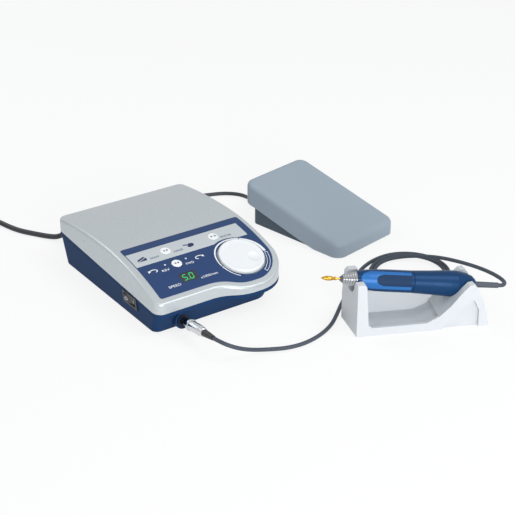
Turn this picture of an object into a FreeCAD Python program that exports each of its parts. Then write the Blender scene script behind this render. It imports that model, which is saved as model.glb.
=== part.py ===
import FreeCAD, Part
import math
import os
import re
import Sketcher
from FreeCAD import Matrix, Placement, Rotation, Vector

# Dental micromotor set: control unit, handpiece on its stand, foot pedal and cords.
# Millimetres. The origin is at the centre of the control unit's footprint, on the table.
# X runs to the unit's right, Y to its rear, Z up.

DRIVING_SIZES = [
    # Control unit
    ("unit_width", 172, "cover, side to side"),
    ("unit_depth", 227, "cover, straight front edge to rear edge"),
    ("bulge_out", 12.5, "how far the front right bulge stands out"),
    ("bulge_flat", 8, "straight stretch at the bulge's tip"),
    ("scurve_run", 50, "length of the S curve along the front"),
    ("front_corner", 10, "plan radius, front left corner"),
    ("rear_corner", 9, "plan radius, rear corners"),
    ("foot_drop", 1.5, "gap between base and table"),
    ("parting_front", 28.4, "height of the parting plane at the front edge"),
    ("parting_rear", 42, "height of the parting plane at the rear edge"),
    ("crown_top", 66, "height of the crown's top line"),
    ("crown_back", 105, "rear edge to the crown's top line"),
    ("crown_front_drop", 25.1, "fall of the crown from its top line to the straight front edge"),
    ("crown_rear_drop", 8.4, "fall of the crown from its top line to the rear edge"),
    ("shoulder", 3.5, "round along the cover's top edge"),
    ("wall", 2.5, "housing wall"),
    ("rim_height", 4.5, "base rim that follows the cover's outline"),
    ("base_left_in", 3, "draft of the base, left side"),
    ("base_right_in", 15, "draft of the base, right side"),
    ("base_rear_in", 9, "draft of the base, rear"),
    ("base_front_in", 11.5, "draft of the base, front"),
    ("base_corner", 8, "plan radius at the base's floor"),
    ("base_bulge_corner", 20, "plan radius at the base's floor under the bulge"),
    ("foot_dia", 12, "rubber foot"),
    ("foot_seat", 1, "depth of the foot's recess"),
    ("foot_inset", 16, "foot centre from the base's floor edges"),
    # Panel
    ("label_thick", 0.4, "printed panel sheet"),
    ("label_lift", 0.03, "glue under the panel sheet"),
    ("label_inset", 7, "panel sheet inside the cover's outline"),
    ("label_left_more", 2.4, "further inside along the left side"),
    ("label_reach", 94.6, "front edge to the panel sheet's rear edge"),
    ("knob_side", 42, "knob axis from the unit's middle"),
    ("knob_in", 28.5, "front edge to the knob's axis"),
    ("knob_dia", 53, "speed knob"),
    ("knob_rise", 3.3, "knob's rim above the crown"),
    ("knob_gap", 1.5, "ring gap round the knob"),
    ("well_deep", 2.2, "depth of the knob's well"),
    ("dimple_dia", 15, "finger dimple in the knob"),
    ("dimple_reach", 14, "dimple from the knob's axis"),
    ("dimple_turn", -33, "plan angle of the dimple"),
    ("shaft_dia", 6, "potentiometer shaft"),
    ("shaft_play", 0.05, "radial play of the shaft"),
    ("key_dia", 12, "round keys"),
    ("key_play", 0.3, "gap round a key"),
    ("key_rise", 0.8, "key above the crown"),
    ("key_travel", 0.6, "press of a key"),
    ("keys_in", 59, "front edge to the middle of the key field"),
    ("board_deep", 12.2, "front board below the crown"),
    ("board_thick", 1.6, "circuit boards"),
    ("select_side", -31.3, "drive select key"),
    ("direction_side", -31.6, "direction key"),
    ("run_side", 31.9, "motor run key"),
    ("key_row_rear", 12.3, "rear key row from the middle of the key field"),
    ("key_row_front", -12.4, "front key row from the middle of the key field"),
    ("led_dia", 2.2, "indicator light"),
    ("led_reach", 13.5, "indicator lights either side of the direction key"),
    ("led_row", -9.5, "indicator lights from the middle of the key field"),
    ("window_wide", 20, "display window"),
    ("window_tall", 13, "display window"),
    ("window_side", -30.5, "display window centre"),
    ("window_in", 24.5, "front edge to the display window's centre"),
    # Power switch on the left wall
    ("switch_long", 30, "switch flange along the wall"),
    ("switch_tall", 15, "switch flange height"),
    ("switch_in", 59, "front edge to the switch's centre"),
    ("switch_up", 22.5, "switch centre above the table"),
    ("rocker_tip", 10, "half of the rocker's swing in degrees"),
    # Motor socket and plug
    ("socket_in", 32, "left side to the motor socket's axis"),
    ("socket_out", 0.5, "motor socket's face in front of the front edge"),
    ("socket_up", 14, "height of the socket's face centre"),
    ("socket_tilt", 7, "socket axis above level, in degrees"),
    ("socket_dia", 15, "socket flange"),
    ("plug_nose_dia", 9, "plug nose in the socket"),
    ("plug_nose_out", 15, "plug nose in view"),
    ("plug_ring_dia", 13.5, "plug coupling ring"),
    ("plug_shell_dia", 11.6, "plug shell"),
    ("plug_shell_long", 25, "plug shell"),
    ("plug_boot_long", 18, "plug boot"),
    # Handpiece, along its axis from the collet's tip
    ("nose_from", 2.6, "start of the ridged nose cone"),
    ("nose_to", 18.3, "end of the ridged nose cone"),
    ("nose_tip_dia", 9.6, "nose cone at its tip"),
    ("nose_base_dia", 17.6, "nose cone at its base"),
    ("grip_ring_dia", 19.4, "grip sleeve at its front ring"),
    ("grip_dia", 24.5, "grip sleeve at its widest"),
    ("seam_at", 81, "seam between grip sleeve and motor housing"),
    ("motor_dia", 28.8, "motor housing at its widest"),
    ("motor_to", 131, "seam between motor housing and tail cap"),
    ("tail_to", 153.5, "end of the tail cap"),
    ("boot_long", 28.5, "cord boot"),
    ("boot_dia", 6.8, "cord boot"),
    ("tube_dia", 16, "inner tube that carries the grip sleeve"),
    ("sleeve_play", 0.06, "radial play of the grip sleeve"),
    ("spindle_dia", 5, "spindle"),
    ("spindle_play", 0.04, "radial play of the spindle in its bearings"),
    ("bearing_dia", 11, "ball bearings"),
    ("bearing_wide", 4, "ball bearings"),
    ("bur_shank_dia", 2.35, "bur shank"),
    ("bur_out", 21.5, "bur in front of the collet"),
    ("bur_head_dia", 5.4, "bur head"),
    ("inlay_deep", 0.8, "inlays in the grip sleeve"),
    ("inlay_roll", 28, "inlay direction above level, in degrees"),
    ("accent_from", 21.4, "tip of the accent inlay"),
    ("accent_wide", 19, "accent inlay across"),
    ("pad_from", 38.5, "tip of the grip pad"),
    ("pad_wide", 12.6, "grip pad across"),
    # Stand
    ("stand_x", 95.7, "stand's front left floor corner"),
    ("stand_y", -231.6, "stand's front left floor corner"),
    ("stand_turn", -24.5, "stand's turn in degrees"),
    ("stand_long", 147, "stand at the floor"),
    ("stand_deep", 47, "stand depth"),
    ("post_top", 63, "top of the nose post"),
    ("post_thick", 11, "nose post"),
    ("crest_top", 52, "top of the tail cradle"),
    ("crest_at", 124.5, "crest of the tail cradle"),
    ("lip_high", 9.5, "front lip of the tray"),
    ("stand_wall", 4, "stand's walls"),
    ("tray_floor", 5, "tray floor above the table"),
    ("rear_wall_high", 33, "rear wall behind the tray"),
    ("rest_height", 60.8, "handpiece axis at the collet's tip"),
    ("rest_along", -16.6, "collet's tip along the stand"),
    ("rest_deep", 24, "handpiece axis across the stand"),
    ("rest_tilt", 8, "handpiece axis below level, in degrees"),
    ("rest_gap", 0.3, "handpiece to its cradles"),
    # Foot pedal
    ("pedal_x", 158, "pedal's high end left corner"),
    ("pedal_y", 65.5, "pedal's high end left corner"),
    ("pedal_turn", 11.5, "pedal's turn in degrees"),
    ("pedal_wide", 106.6, "pedal cover"),
    ("pedal_out", 13.6, "cover past the base at the high end"),
    ("pedal_front", 146, "cover past the corner at the low end"),
    ("pedal_high", 57.3, "cover at the high end"),
    ("pedal_low", 19, "cover at the low end"),
    ("pedal_corner", 13, "cover's plan corners"),
    ("pedal_edge", 7, "round along the cover's top edge"),
    ("pedal_wall", 2, "cover's wall"),
    ("pedal_lap", 0.5, "base inside the cover's wall"),
    ("skirt_rear", 28, "cover's lower edge at the high end"),
    ("skirt_bend_at", 81, "where the cover's lower edge bends"),
    ("skirt_bend", 6, "cover's lower edge at the bend"),
    ("skirt_front", 1, "cover's lower edge at the low end"),
    ("pedal_hinge_at", 115, "hinge from the high end"),
    ("pedal_hinge_up", 8, "hinge above the table"),
    ("pin_dia", 4, "hinge pin"),
    ("pin_play", 0.05, "radial play of the hinge pin"),
    ("pedal_press", 4, "press of the pedal in degrees"),
    ("spring_at", 24, "return spring from the high end"),
    ("spring_dia", 14, "return spring"),
    ("spring_wire", 1.6, "return spring's wire"),
    # Cords
    ("motor_cord_dia", 4.5, "motor cord"),
    ("power_cord_dia", 6.5, "mains cord"),
    ("pedal_cord_dia", 5, "pedal cord"),
    ("power_coil_dia", 91, "mains cord's coil, outside"),
    ("pedal_coil_dia", 72, "pedal cord's coil, outside"),
    ("gland_in", 32, "left side to the mains gland"),
    ("gland_long", 26, "mains gland behind the rear wall"),
    ("gland_up", 20, "mains gland above the table"),
    ("pedal_socket_side", 8, "pedal socket from the unit's middle"),
    ("fuse_beside", 34, "pedal socket to the fuse holder"),
    ("pedal_plug_long", 32, "pedal plug behind the rear wall"),
    ("pedal_gland_side", 42, "pedal's cord gland from its left side"),
    ("mains_pin_dia", 4.8, "mains plug pins"),
    ("mains_pin_gap", 19, "mains plug pins, centre to centre"),
    ("mains_pin_long", 19, "mains plug pins"),
]

doc = FreeCAD.newDocument("micromotor")
sheet = doc.addObject("Spreadsheet::Sheet", "Sizes")
for row, (alias, number, meaning) in enumerate(DRIVING_SIZES, start=1):
    sheet.set("A%d" % row, meaning)
    sheet.set("B%d" % row, str(number))
    sheet.setAlias("B%d" % row, alias)
doc.recompute()

ALIASES = {alias for alias, number, meaning in DRIVING_SIZES}
NODES = {}


def linked(text):
    """An expression on the sheet's aliases, written as FreeCAD reads it from another object."""
    return re.sub(r"[a-z_][a-z_0-9]*", lambda word: "Sizes." + word.group(0) if word.group(0) in ALIASES
                  else word.group(0), str(text))


def size(text):
    """The number that an expression on the sheet's aliases gives now."""
    return float(sheet.evalExpression(linked(text)))


def bind(thing, **properties):
    """Ties properties of an object to expressions on the sheet."""
    for name, text in properties.items():
        thing.setExpression(name.replace("__", "."), linked(text))
    return thing


def node(thing, label, place=None):
    """Names a finished sub-part after its node and puts it in its place."""
    thing.Label = label
    if place is not None:
        thing.Placement = place
    NODES[label] = thing
    return thing


PLANES = {
    "XY_Plane": Rotation(),
    "XZ_Plane": Rotation(Vector(1, 0, 0), 90),
    "YZ_Plane": Rotation(Vector(1, 1, 1), 120),
}


def arc_between(start, end, radius, side):
    """Minor arc from start to end that bulges to the left (side 1) or right (side -1) of the chord."""
    chord = end - start
    left = Vector(-chord.y, chord.x, 0).normalize()
    rise = math.sqrt(max(radius ** 2 - (chord.Length / 2) ** 2, 0))
    centre = (start + end) / 2 - left * rise * side
    first = math.atan2(start.y - centre.y, start.x - centre.x)
    last = math.atan2(end.y - centre.y, end.x - centre.x)
    circle = Part.Circle(centre, Vector(0, 0, 1), radius)
    if side < 0:
        return Part.ArcOfCircle(circle, first, last), 1, 2
    return Part.ArcOfCircle(circle, last, first), 2, 1


def outline(name, corners, plane="XY_Plane", body=None):
    """Closed sketch whose corners are tied to the sheet.

    A corner is (across, up). With (across, up, radius, side) the edge that leaves it is an arc of
    that radius, which bulges to the left of the way round (side 1) or to the right (side -1).
    """
    if body is None:
        sketch = doc.addObject("Sketcher::SketchObject", name)
        sketch.Placement = Placement(Vector(), PLANES[plane])
    else:
        sketch = body.newObject("Sketcher::SketchObject", name)
        support = [item for item in body.Origin.OriginFeatures if item.Role == plane][0]
        sketch.AttachmentSupport = [(support, "")]
        sketch.MapMode = "FlatFace"
    points = [Vector(size(corner[0]), size(corner[1]), 0) for corner in corners]
    ends = []
    for index, corner in enumerate(corners):
        start = points[index]
        end = points[(index + 1) % len(points)]
        if len(corner) == 4:
            edge, first, last = arc_between(start, end, size(corner[2]), corner[3])
        else:
            edge, first, last = Part.LineSegment(start, end), 1, 2
        sketch.addGeometry(edge, False)
        ends.append((first, last))
    for index in range(len(corners)):
        following = (index + 1) % len(corners)
        sketch.addConstraint(Sketcher.Constraint("Coincident", index, ends[index][1], following,
                                                 ends[following][0]))
    for index, corner in enumerate(corners):
        holds = [("DistanceX", "across", points[index].x, corner[0]),
                 ("DistanceY", "up", points[index].y, corner[1])]
        for kind, word, number, text in holds:
            place = sketch.addConstraint(Sketcher.Constraint(kind, index, ends[index][0], number))
            sketch.renameConstraint(place, "%s%d" % (word, index))
            sketch.setExpression("Constraints.%s%d" % (word, index), linked(text))
        if len(corner) == 4:
            place = sketch.addConstraint(Sketcher.Constraint("Radius", index, size(corner[2])))
            sketch.renameConstraint(place, "radius%d" % index)
            sketch.setExpression("Constraints.radius%d" % index, linked(corner[2]))
    return sketch


def prism(name, sketch, ahead, behind="0"):
    """The sketch carried along its normal, ahead and behind."""
    solid = doc.addObject("Part::Extrusion", name)
    solid.Base = sketch
    solid.DirMode = "Normal"
    solid.Solid = True
    return bind(solid, LengthFwd=ahead, LengthRev=behind)


def common(name, first, second):
    solid = doc.addObject("Part::Common", name)
    solid.Base = first
    solid.Tool = second
    return solid


def cut(name, base, tools):
    """The base with every tool cut away."""
    for index, tool in enumerate(tools):
        result = doc.addObject("Part::Cut", "%s_cut%d" % (name, index))
        result.Base = base
        result.Tool = tool
        base = result
    return base


def fuse(name, parts):
    solid = doc.addObject("Part::MultiFuse", name)
    solid.Shapes = parts
    return solid


def group(name, parts):
    """Separate solids that share a node."""
    solid = doc.addObject("Part::Compound", name)
    solid.Links = parts
    return solid


def block(name, long, wide, tall, place=None):
    """Box centred on its place in plan, standing on it."""
    solid = bind(doc.addObject("Part::Box", name), Length=long, Width=wide, Height=tall)
    solid.Placement = (place or Placement()).multiply(
        Placement(Vector(-size(long) / 2, -size(wide) / 2, 0), Rotation()))
    return solid


def round_bar(name, dia, long, place=None):
    solid = bind(doc.addObject("Part::Cylinder", name), Radius="(%s) / 2" % dia, Height=long)
    solid.Placement = place or Placement()
    return solid


def at(across=0, along=0, up=0, turn=None):
    """Placement from expressions or numbers."""
    return Placement(Vector(size(across), size(along), size(up)), turn or Rotation())


def turned(label, profile, axis="X", place=None):
    """Body of revolution: profile holds (along, radius) expressions, turned round X or Z."""
    body = doc.addObject("PartDesign::Body", label)
    if axis == "X":
        sketch = outline(label + "_profile", profile, "XY_Plane", body)
        reference = "H_Axis"
    else:
        corners = [(corner[1], corner[0]) + tuple(corner[2:]) for corner in profile]
        sketch = outline(label + "_profile", corners, "XZ_Plane", body)
        reference = "V_Axis"
    spin = body.newObject("PartDesign::Revolution", label + "_turn")
    spin.Profile = sketch
    spin.ReferenceAxis = (sketch, [reference])
    spin.Angle = 360
    body.Tip = spin
    if place is not None:
        body.Placement = place
    return body


def padded(label, corners, thick, plane="XY_Plane", place=None, middle=False):
    """Body made by one pad of a sketch."""
    body = doc.addObject("PartDesign::Body", label)
    pad = body.newObject("PartDesign::Pad", label + "_pad")
    pad.Profile = outline(label + "_outline", corners, plane, body)
    pad.Midplane = middle
    bind(pad, Length=thick)
    body.Tip = pad
    if place is not None:
        body.Placement = place
    return body


def rectangle(left, right, low, high, corner=None, low_right=None):
    """Corner list of a rectangle, its corners rounded if a radius is given."""
    if corner is None:
        return [(left, low), (right, low), (right, high), (left, high)]
    low_right = low_right or corner
    return [
        ("%s + %s" % (left, corner), low), ("%s - %s" % (right, low_right), low, low_right, -1),
        (right, "%s + %s" % (low, low_right)), (right, "%s - %s" % (high, corner), corner, -1),
        ("%s - %s" % (right, corner), high), ("%s + %s" % (left, corner), high, corner, -1),
        (left, "%s - %s" % (high, corner)), (left, "%s + %s" % (low, corner), corner, -1),
    ]


def mirrored_places(across, along):
    """The four signs of a rectangular pattern."""
    return [(side * size(across), end * size(along)) for side in (-1, 1) for end in (-1, 1)]


# Control unit: shared outlines and surfaces

HALF_WIDE = "unit_width / 2"
HALF_DEEP = "unit_depth / 2"
BULGE_R = "(unit_width / 2 - knob_side)"
SCURVE_R = "((scurve_run ^ 2 + bulge_out ^ 2) / (4 * bulge_out))"
SLOPE = "((parting_rear - parting_front) / unit_depth)"
CROWN_LINE = "(unit_depth / 2 - crown_back)"
CROWN_FRONT_R = "(((unit_depth - crown_back) ^ 2 + crown_front_drop ^ 2) / (2 * crown_front_drop))"
CROWN_REAR_R = "((crown_back ^ 2 + crown_rear_drop ^ 2) / (2 * crown_rear_drop))"
KNOB_ALONG = "(knob_in - unit_depth / 2)"
KEYS_ALONG = "(keys_in - unit_depth / 2)"
WINDOW_ALONG = "(window_in - unit_depth / 2)"
SWITCH_ALONG = "(switch_in - unit_depth / 2)"
LABEL_REAR = "(label_reach - unit_depth / 2)"
GLAND_SIDE = "(gland_in - unit_width / 2)"
LEAST_CORNER = 1
OVERRUN = 6
FRONT_END = "(-unit_depth / 2 - bulge_out - %d)" % OVERRUN
REAR_END = "(unit_depth / 2 + %d)" % OVERRUN


def front_curve(inset):
    """Corners of the S curve and of the bulge, moved in from the cover's outline."""
    end = "(knob_side - bulge_flat)"
    start = "(%s - scurve_run)" % end
    outer = "(%s + (%s))" % (SCURVE_R, inset)
    inner = "(%s - (%s))" % (SCURVE_R, inset)
    tip = "(-unit_depth / 2 - bulge_out + (%s))" % inset
    bulge = "(%s - (%s))" % (BULGE_R, inset)
    middle_x = "(%s + %s * scurve_run / (2 * %s))" % (start, outer, SCURVE_R)
    middle_y = "(-unit_depth / 2 - %s + %s * (1 - bulge_out / (2 * %s)))" % (SCURVE_R, outer, SCURVE_R)
    return [
        (start, "(-unit_depth / 2 + (%s))" % inset, outer, 1),
        (middle_x, middle_y, inner, -1),
        (end, tip),
        ("knob_side", tip, bulge, -1),
        ("(unit_width / 2 - (%s))" % inset, "%s + %s" % (tip, bulge)),
    ]


def corner_inside(radius, inset):
    """A corner's radius inside the outline, never less than the least corner."""
    return "max(%s - (%s); %d)" % (radius, inset, LEAST_CORNER)


def cover_outline(name, inset="0"):
    """Plan outline of the cover: a rounded rectangle with an S curve and a bulge at the front right."""
    half = "(unit_width / 2 - (%s))" % inset
    front = "(-unit_depth / 2 + (%s))" % inset
    rear = "(unit_depth / 2 - (%s))" % inset
    corner = corner_inside("front_corner", inset)
    back = corner_inside("rear_corner", inset)
    return outline(name, [("-%s + %s" % (half, corner), front)] + front_curve(inset) + [
        (half, "%s - %s" % (rear, back), back, -1),
        ("%s - %s" % (half, back), rear),
        ("-%s + %s" % (half, back), rear, back, -1),
        ("-" + half, "%s - %s" % (rear, back)),
        ("-" + half, "%s + %s" % (front, corner), corner, -1),
    ])


def parting(along, lift="0"):
    """Height of the parting plane, or of a plane parallel to it, as an expression."""
    return "(parting_front + %s * (%s + unit_depth / 2) + (%s))" % (SLOPE, along, lift)


def crown(along, lift="0", front=True):
    """Height of the crown's arc, or of an arc inside it, as an expression."""
    base = CROWN_FRONT_R if front else CROWN_REAR_R
    return "(crown_top - %s + sqrt((%s + (%s)) ^ 2 - (%s - %s) ^ 2))" % (base, base, lift, along, CROWN_LINE)


def crown_radius(lift, front=True):
    return "%s + (%s)" % (CROWN_FRONT_R if front else CROWN_REAR_R, lift)


def crown_band(name, low_lift, high_lift):
    """Side view of the space between two arcs parallel to the crown."""
    return outline(name, [
        (FRONT_END, crown(FRONT_END, low_lift), crown_radius(low_lift), 1),
        (CROWN_LINE, "crown_top + (%s)" % low_lift, crown_radius(low_lift, False), 1),
        (REAR_END, crown(REAR_END, low_lift, False)),
        (REAR_END, crown(REAR_END, high_lift, False), crown_radius(high_lift, False), -1),
        (CROWN_LINE, "crown_top + (%s)" % high_lift, crown_radius(high_lift), -1),
        (FRONT_END, crown(FRONT_END, high_lift)),
    ], "YZ_Plane")


def under_crown(name, low_lift, crown_lift):
    """Side view of the space from a plane parallel to the parting up to the crown."""
    return outline(name, [
        (FRONT_END, parting(FRONT_END, low_lift)),
        (REAR_END, parting(REAR_END, low_lift)),
        (REAR_END, crown(REAR_END, crown_lift, False), crown_radius(crown_lift, False), -1),
        (CROWN_LINE, "crown_top + (%s)" % crown_lift, crown_radius(crown_lift), -1),
        (FRONT_END, crown(FRONT_END, crown_lift)),
    ], "YZ_Plane")


def parting_band(name, low_lift, high_lift):
    """Side view of the space between two planes parallel to the parting plane."""
    return outline(name, [
        (FRONT_END, parting(FRONT_END, low_lift)), (REAR_END, parting(REAR_END, low_lift)),
        (REAR_END, parting(REAR_END, high_lift)), (FRONT_END, parting(FRONT_END, high_lift)),
    ], "YZ_Plane")


def plan_and_side(name, plan, side):
    """Solid with the given plan outline and side view."""
    return common(name, prism(name + "_plan", plan, "100"), prism(name + "_side", side, "120", "120"))


def crown_place(across, along, lift=0.0):
    """Placement on the crown with its Z axis along the crown's normal."""
    along = size(along)
    lean = math.asin((size(CROWN_LINE) - along) / size(CROWN_FRONT_R))
    normal = Vector(0, -math.sin(lean), math.cos(lean))
    foot = Vector(size(across), along, size(crown(str(along))))
    return Placement(foot + normal * lift, Rotation(Vector(1, 0, 0), math.degrees(lean)))


def key_field_place(across, up_slope, lift=0.0):
    """Placement in the plane that touches the crown at the middle of the key field."""
    return crown_place("0", KEYS_ALONG).multiply(Placement(Vector(size(across), size(up_slope), lift),
                                                            Rotation()))


KEYS = [
    ("drive_select_key", "select_side", "key_row_rear"),
    ("direction_key", "direction_side", "key_row_front"),
    ("motor_run_key", "run_side", "key_row_rear"),
]
SWITCH_HIGH = 4.5
LIGHT_SPOTS = [("direction_side - led_reach", "led_row"), ("direction_side + led_reach", "led_row")]
SCREW_SPOTS = [
    ("20 - unit_width / 2", "unit_depth / 2 - 25.5"), ("unit_width / 2 - 20", "unit_depth / 2 - 25.5"),
    ("20 - unit_width / 2", "33.5 - unit_depth / 2"), ("unit_width / 2 - 30", "73.5 - unit_depth / 2"),
]
TOWER_HIGH = 12
BOARD_POSTS = [(-57, 14), (-57, -38), (2, -38), (38, -6)]


def screw_place(spot, up="0"):
    return at(spot[0], spot[1], up)


# Top cover

def make_cover():
    skin = plan_and_side("cover_block", cover_outline("cover_plan"), under_crown("cover_side", "0", "0"))
    doc.recompute()
    rounded = doc.addObject("Part::Fillet", "cover_rounded")
    rounded.Base = skin
    radius = size("shoulder")
    edges = []
    for index, edge in enumerate(skin.Shape.Edges, start=1):
        ends = [vertex.Point for vertex in edge.Vertexes]
        middle = edge.valueAt((edge.FirstParameter + edge.LastParameter) / 2)
        if all(on_crown(point) for point in ends + [middle]) and not spans_cover(edge):
            edges.append((index, radius, radius))
    rounded.Edges = edges
    hollow = plan_and_side("cover_hollow", cover_outline("cover_hollow_plan", "wall"),
                           under_crown("cover_hollow_side", "-10", "-wall"))
    shell = cut("cover_shell", rounded, [hollow])
    well_floor = round_bar("well_floor", "knob_dia + 2 * knob_gap + 4", "2",
                           crown_place("knob_side", KNOB_ALONG, -size("well_deep") - 2))
    posts = []
    for index, spot in enumerate(SCREW_SPOTS):
        floor = "foot_drop + wall + %d" % TOWER_HIGH
        top = crown("(%s)" % spot[1], "-1.5", size(spot[1]) < size(CROWN_LINE))
        posts.append(round_bar("cover_post%d" % index, "8", "%s - (%s)" % (top, floor), screw_place(spot, floor)))
    for index, (across, slope) in enumerate(BOARD_POSTS):
        posts.append(round_bar("board_post%d" % index, "5", "board_deep - 1 - %g ^ 2 / (2 * %s)" % (slope, CROWN_FRONT_R),
                               key_field_place(str(across), str(slope), -size("board_deep"))))
    body = fuse("cover_body", [shell, well_floor] + posts)
    tools = [
        round_bar("knob_well", "knob_dia + 2 * knob_gap", "20",
                  crown_place("knob_side", KNOB_ALONG, -size("well_deep"))),
        round_bar("bush_hole", "8", "20", crown_place("knob_side", KNOB_ALONG, -10)),
        block("window_hole", "window_wide + 0.4", "window_tall + 0.4", "10",
              crown_place("window_side", WINDOW_ALONG, -6)),
    ]
    for label, across, slope in KEYS:
        tools.append(round_bar(label + "_hole", "key_dia + 2 * key_play", "10",
                               key_field_place(across, slope, -6)))
    for index, (across, slope) in enumerate(LIGHT_SPOTS):
        tools.append(round_bar("light_hole%d" % index, "led_dia + 0.2", "10",
                               key_field_place(across, slope, -6)))
    for index, spot in enumerate(SCREW_SPOTS):
        tools.append(round_bar("cover_pilot%d" % index, "3.02", "30", screw_place(spot)))
    node(cut("top_cover", body, tools), "top_cover")


def on_crown(point):
    front = point.y < size(CROWN_LINE)
    return abs(point.z - size(crown(str(point.y), "0", front))) < 0.02


def spans_cover(edge):
    """True for the seam line between the crown's two arcs."""
    ends = [vertex.Point for vertex in edge.Vertexes]
    return len(ends) == 2 and all(abs(point.y - size(CROWN_LINE)) < 0.01 for point in ends)


make_cover()


# Base housing

def base_floor_outline(name, inset, lift):
    """Rounded rectangle of the base at its floor."""
    sketch = outline(name, rectangle(
        "(-unit_width / 2 + base_left_in + (%s))" % inset, "(unit_width / 2 - base_right_in - (%s))" % inset,
        "(-unit_depth / 2 + base_front_in + (%s))" % inset, "(unit_depth / 2 - base_rear_in - (%s))" % inset,
        "(base_corner - (%s))" % inset, "(base_bulge_corner - (%s))" % inset))
    bind(sketch, Placement__Base__z=lift)
    return sketch


def base_top_outline(name, inset):
    """Rounded rectangle of the base in the parting plane, its front right corner inside the bulge's round."""
    lean = "cos(atan(%s))" % SLOPE
    stretch = "/ %s" % lean
    sketch = outline(name, rectangle(
        "(-unit_width / 2 + (%s))" % inset, "(unit_width / 2 - (%s))" % inset,
        "((-unit_depth / 2 + (%s)) %s)" % (inset, stretch), "((unit_depth / 2 - (%s)) %s)" % (inset, stretch),
        "(rear_corner - (%s))" % inset, "(%s - bulge_out + 1.5 - (%s))" % (BULGE_R, inset)))
    sketch.Placement = Placement(Vector(0, 0, size("(parting_front + parting_rear) / 2")),
                                 Rotation(Vector(1, 0, 0), math.degrees(math.atan(size(SLOPE)))))
    return sketch


def base_hull(name, inset, lift):
    hull = doc.addObject("Part::Loft", name)
    hull.Sections = [base_floor_outline(name + "_floor", inset, lift), base_top_outline(name + "_top", inset)]
    hull.Solid = True
    hull.Ruled = True
    return hull


FLOOR_TOP = "(foot_drop + wall)"
BASE_MID_X = "((base_left_in - base_right_in) / 2)"
BASE_MID_Y = "((base_front_in - base_rear_in) / 2)"
FOOT_X = "((unit_width - base_left_in - base_right_in) / 2 - foot_inset)"
FOOT_Y = "((unit_depth - base_front_in - base_rear_in) / 2 - foot_inset)"
PLUG_AXIS = Rotation(Vector(1, 0, 0), 90 - size("socket_tilt"))
SIDE_LEAN = math.degrees(math.atan(size("base_left_in") / size(parting(SWITCH_ALONG, "-foot_drop"))))
POWER_BOARD_MID = ("30", "(unit_depth / 2 - 83.5)")
VENTS_IN_FRONT = 70
POWER_BOARD_HOLES = ("26", "46")
BOARD_LIFT = 6


def socket_place(out):
    """Placement on the motor socket's axis, Z pointing out of the socket, this far out of its face."""
    start = at("socket_in - unit_width / 2", "-unit_depth / 2 - socket_out", "socket_up", PLUG_AXIS)
    return start.multiply(Placement(Vector(0, 0, out), Rotation()))


def switch_place():
    """Placement on the left wall's outer face: X along the wall to the rear, Z out of the wall."""
    up = size("switch_up")
    drop = size(parting(SWITCH_ALONG)) - up
    out = -size(HALF_WIDE) + drop * math.tan(math.radians(SIDE_LEAN))
    lean = math.radians(SIDE_LEAN)
    outward = Vector(-math.cos(lean), 0, -math.sin(lean))
    face = Rotation(Vector(0, 1, 0), Vector(math.sin(lean), 0, -math.cos(lean)), outward, "XZY")
    return Placement(Vector(out, size(SWITCH_ALONG), up), face)


def foot_places():
    """The four corners of the base and its middle, which carries the transformer's weight."""
    corners = [at("%g + %s" % (across, BASE_MID_X), "%g + %s" % (along, BASE_MID_Y))
               for across, along in mirrored_places(FOOT_X, FOOT_Y)]
    return corners + [at()]


def rear_place(across, along="unit_depth / 2 - 18"):
    """Placement at the height of the rear fittings, Z pointing to the rear."""
    return at(across, along, "gland_up", Rotation(Vector(1, 0, 0), -90))


def make_base():
    hull = base_hull("base_outer", "0", "foot_drop")
    rim = plan_and_side("base_rim", cover_outline("rim_plan"), parting_band("rim_side", "-rim_height", "0"))
    hollow = base_hull("base_inner", "wall", FLOOR_TOP)
    rim_hollow = plan_and_side("rim_hollow", cover_outline("rim_hollow_plan", "wall"),
                               parting_band("rim_hollow_side", "-rim_height + 2", "5"))
    shell = cut("base_shell", fuse("base_solid", [hull, rim]), [hollow, rim_hollow])
    extras = [round_bar("socket_boss", "19", "16", socket_place(-16))]
    for index, spot in enumerate(SCREW_SPOTS):
        extras.append(round_bar("base_tower%d" % index, "11", "wall + %d" % TOWER_HIGH,
                                screw_place(spot, "foot_drop")))
    for index, (across, along) in enumerate(mirrored_places(*POWER_BOARD_HOLES)):
        extras.append(round_bar("board_stand%d" % index, "6", str(BOARD_LIFT),
                                at("%g + %s" % (across, POWER_BOARD_MID[0]), "%g + %s" % (along, POWER_BOARD_MID[1]),
                                   FLOOR_TOP)))
    body = fuse("base_body", [shell] + extras)
    tools = [
        round_bar("socket_bore", "13.2", "20", socket_place(-18)),
        round_bar("gland_hole", "12", "30", rear_place(GLAND_SIDE)),
        round_bar("pedal_socket_hole", "14", "30", rear_place("pedal_socket_side")),
        round_bar("fuse_hole", "12.5", "30", rear_place("pedal_socket_side + fuse_beside")),
        block("switch_hole", "switch_long - 3", "switch_tall - 3", "12",
              switch_place().multiply(Placement(Vector(0, 0, -8), Rotation()))),
    ]
    for index, spot in enumerate(SCREW_SPOTS):
        tools.append(round_bar("screw_sink%d" % index, "6.6", "8", screw_place(spot)))
        tools.append(round_bar("screw_way%d" % index, "3.4", "30", screw_place(spot)))
    for index, place in enumerate(foot_places()):
        tools.append(round_bar("foot_recess%d" % index, "foot_dia", "foot_drop + foot_seat", place))
    for index in range(9):
        tools.append(block("vent%d" % index, "2.4", "34", "8",
                           at(str(6 * index - 40), "%s - %d" % (POWER_BOARD_MID[1], VENTS_IN_FRONT))))
    node(cut("base_housing", body, tools), "base_housing")


make_base()


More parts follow.
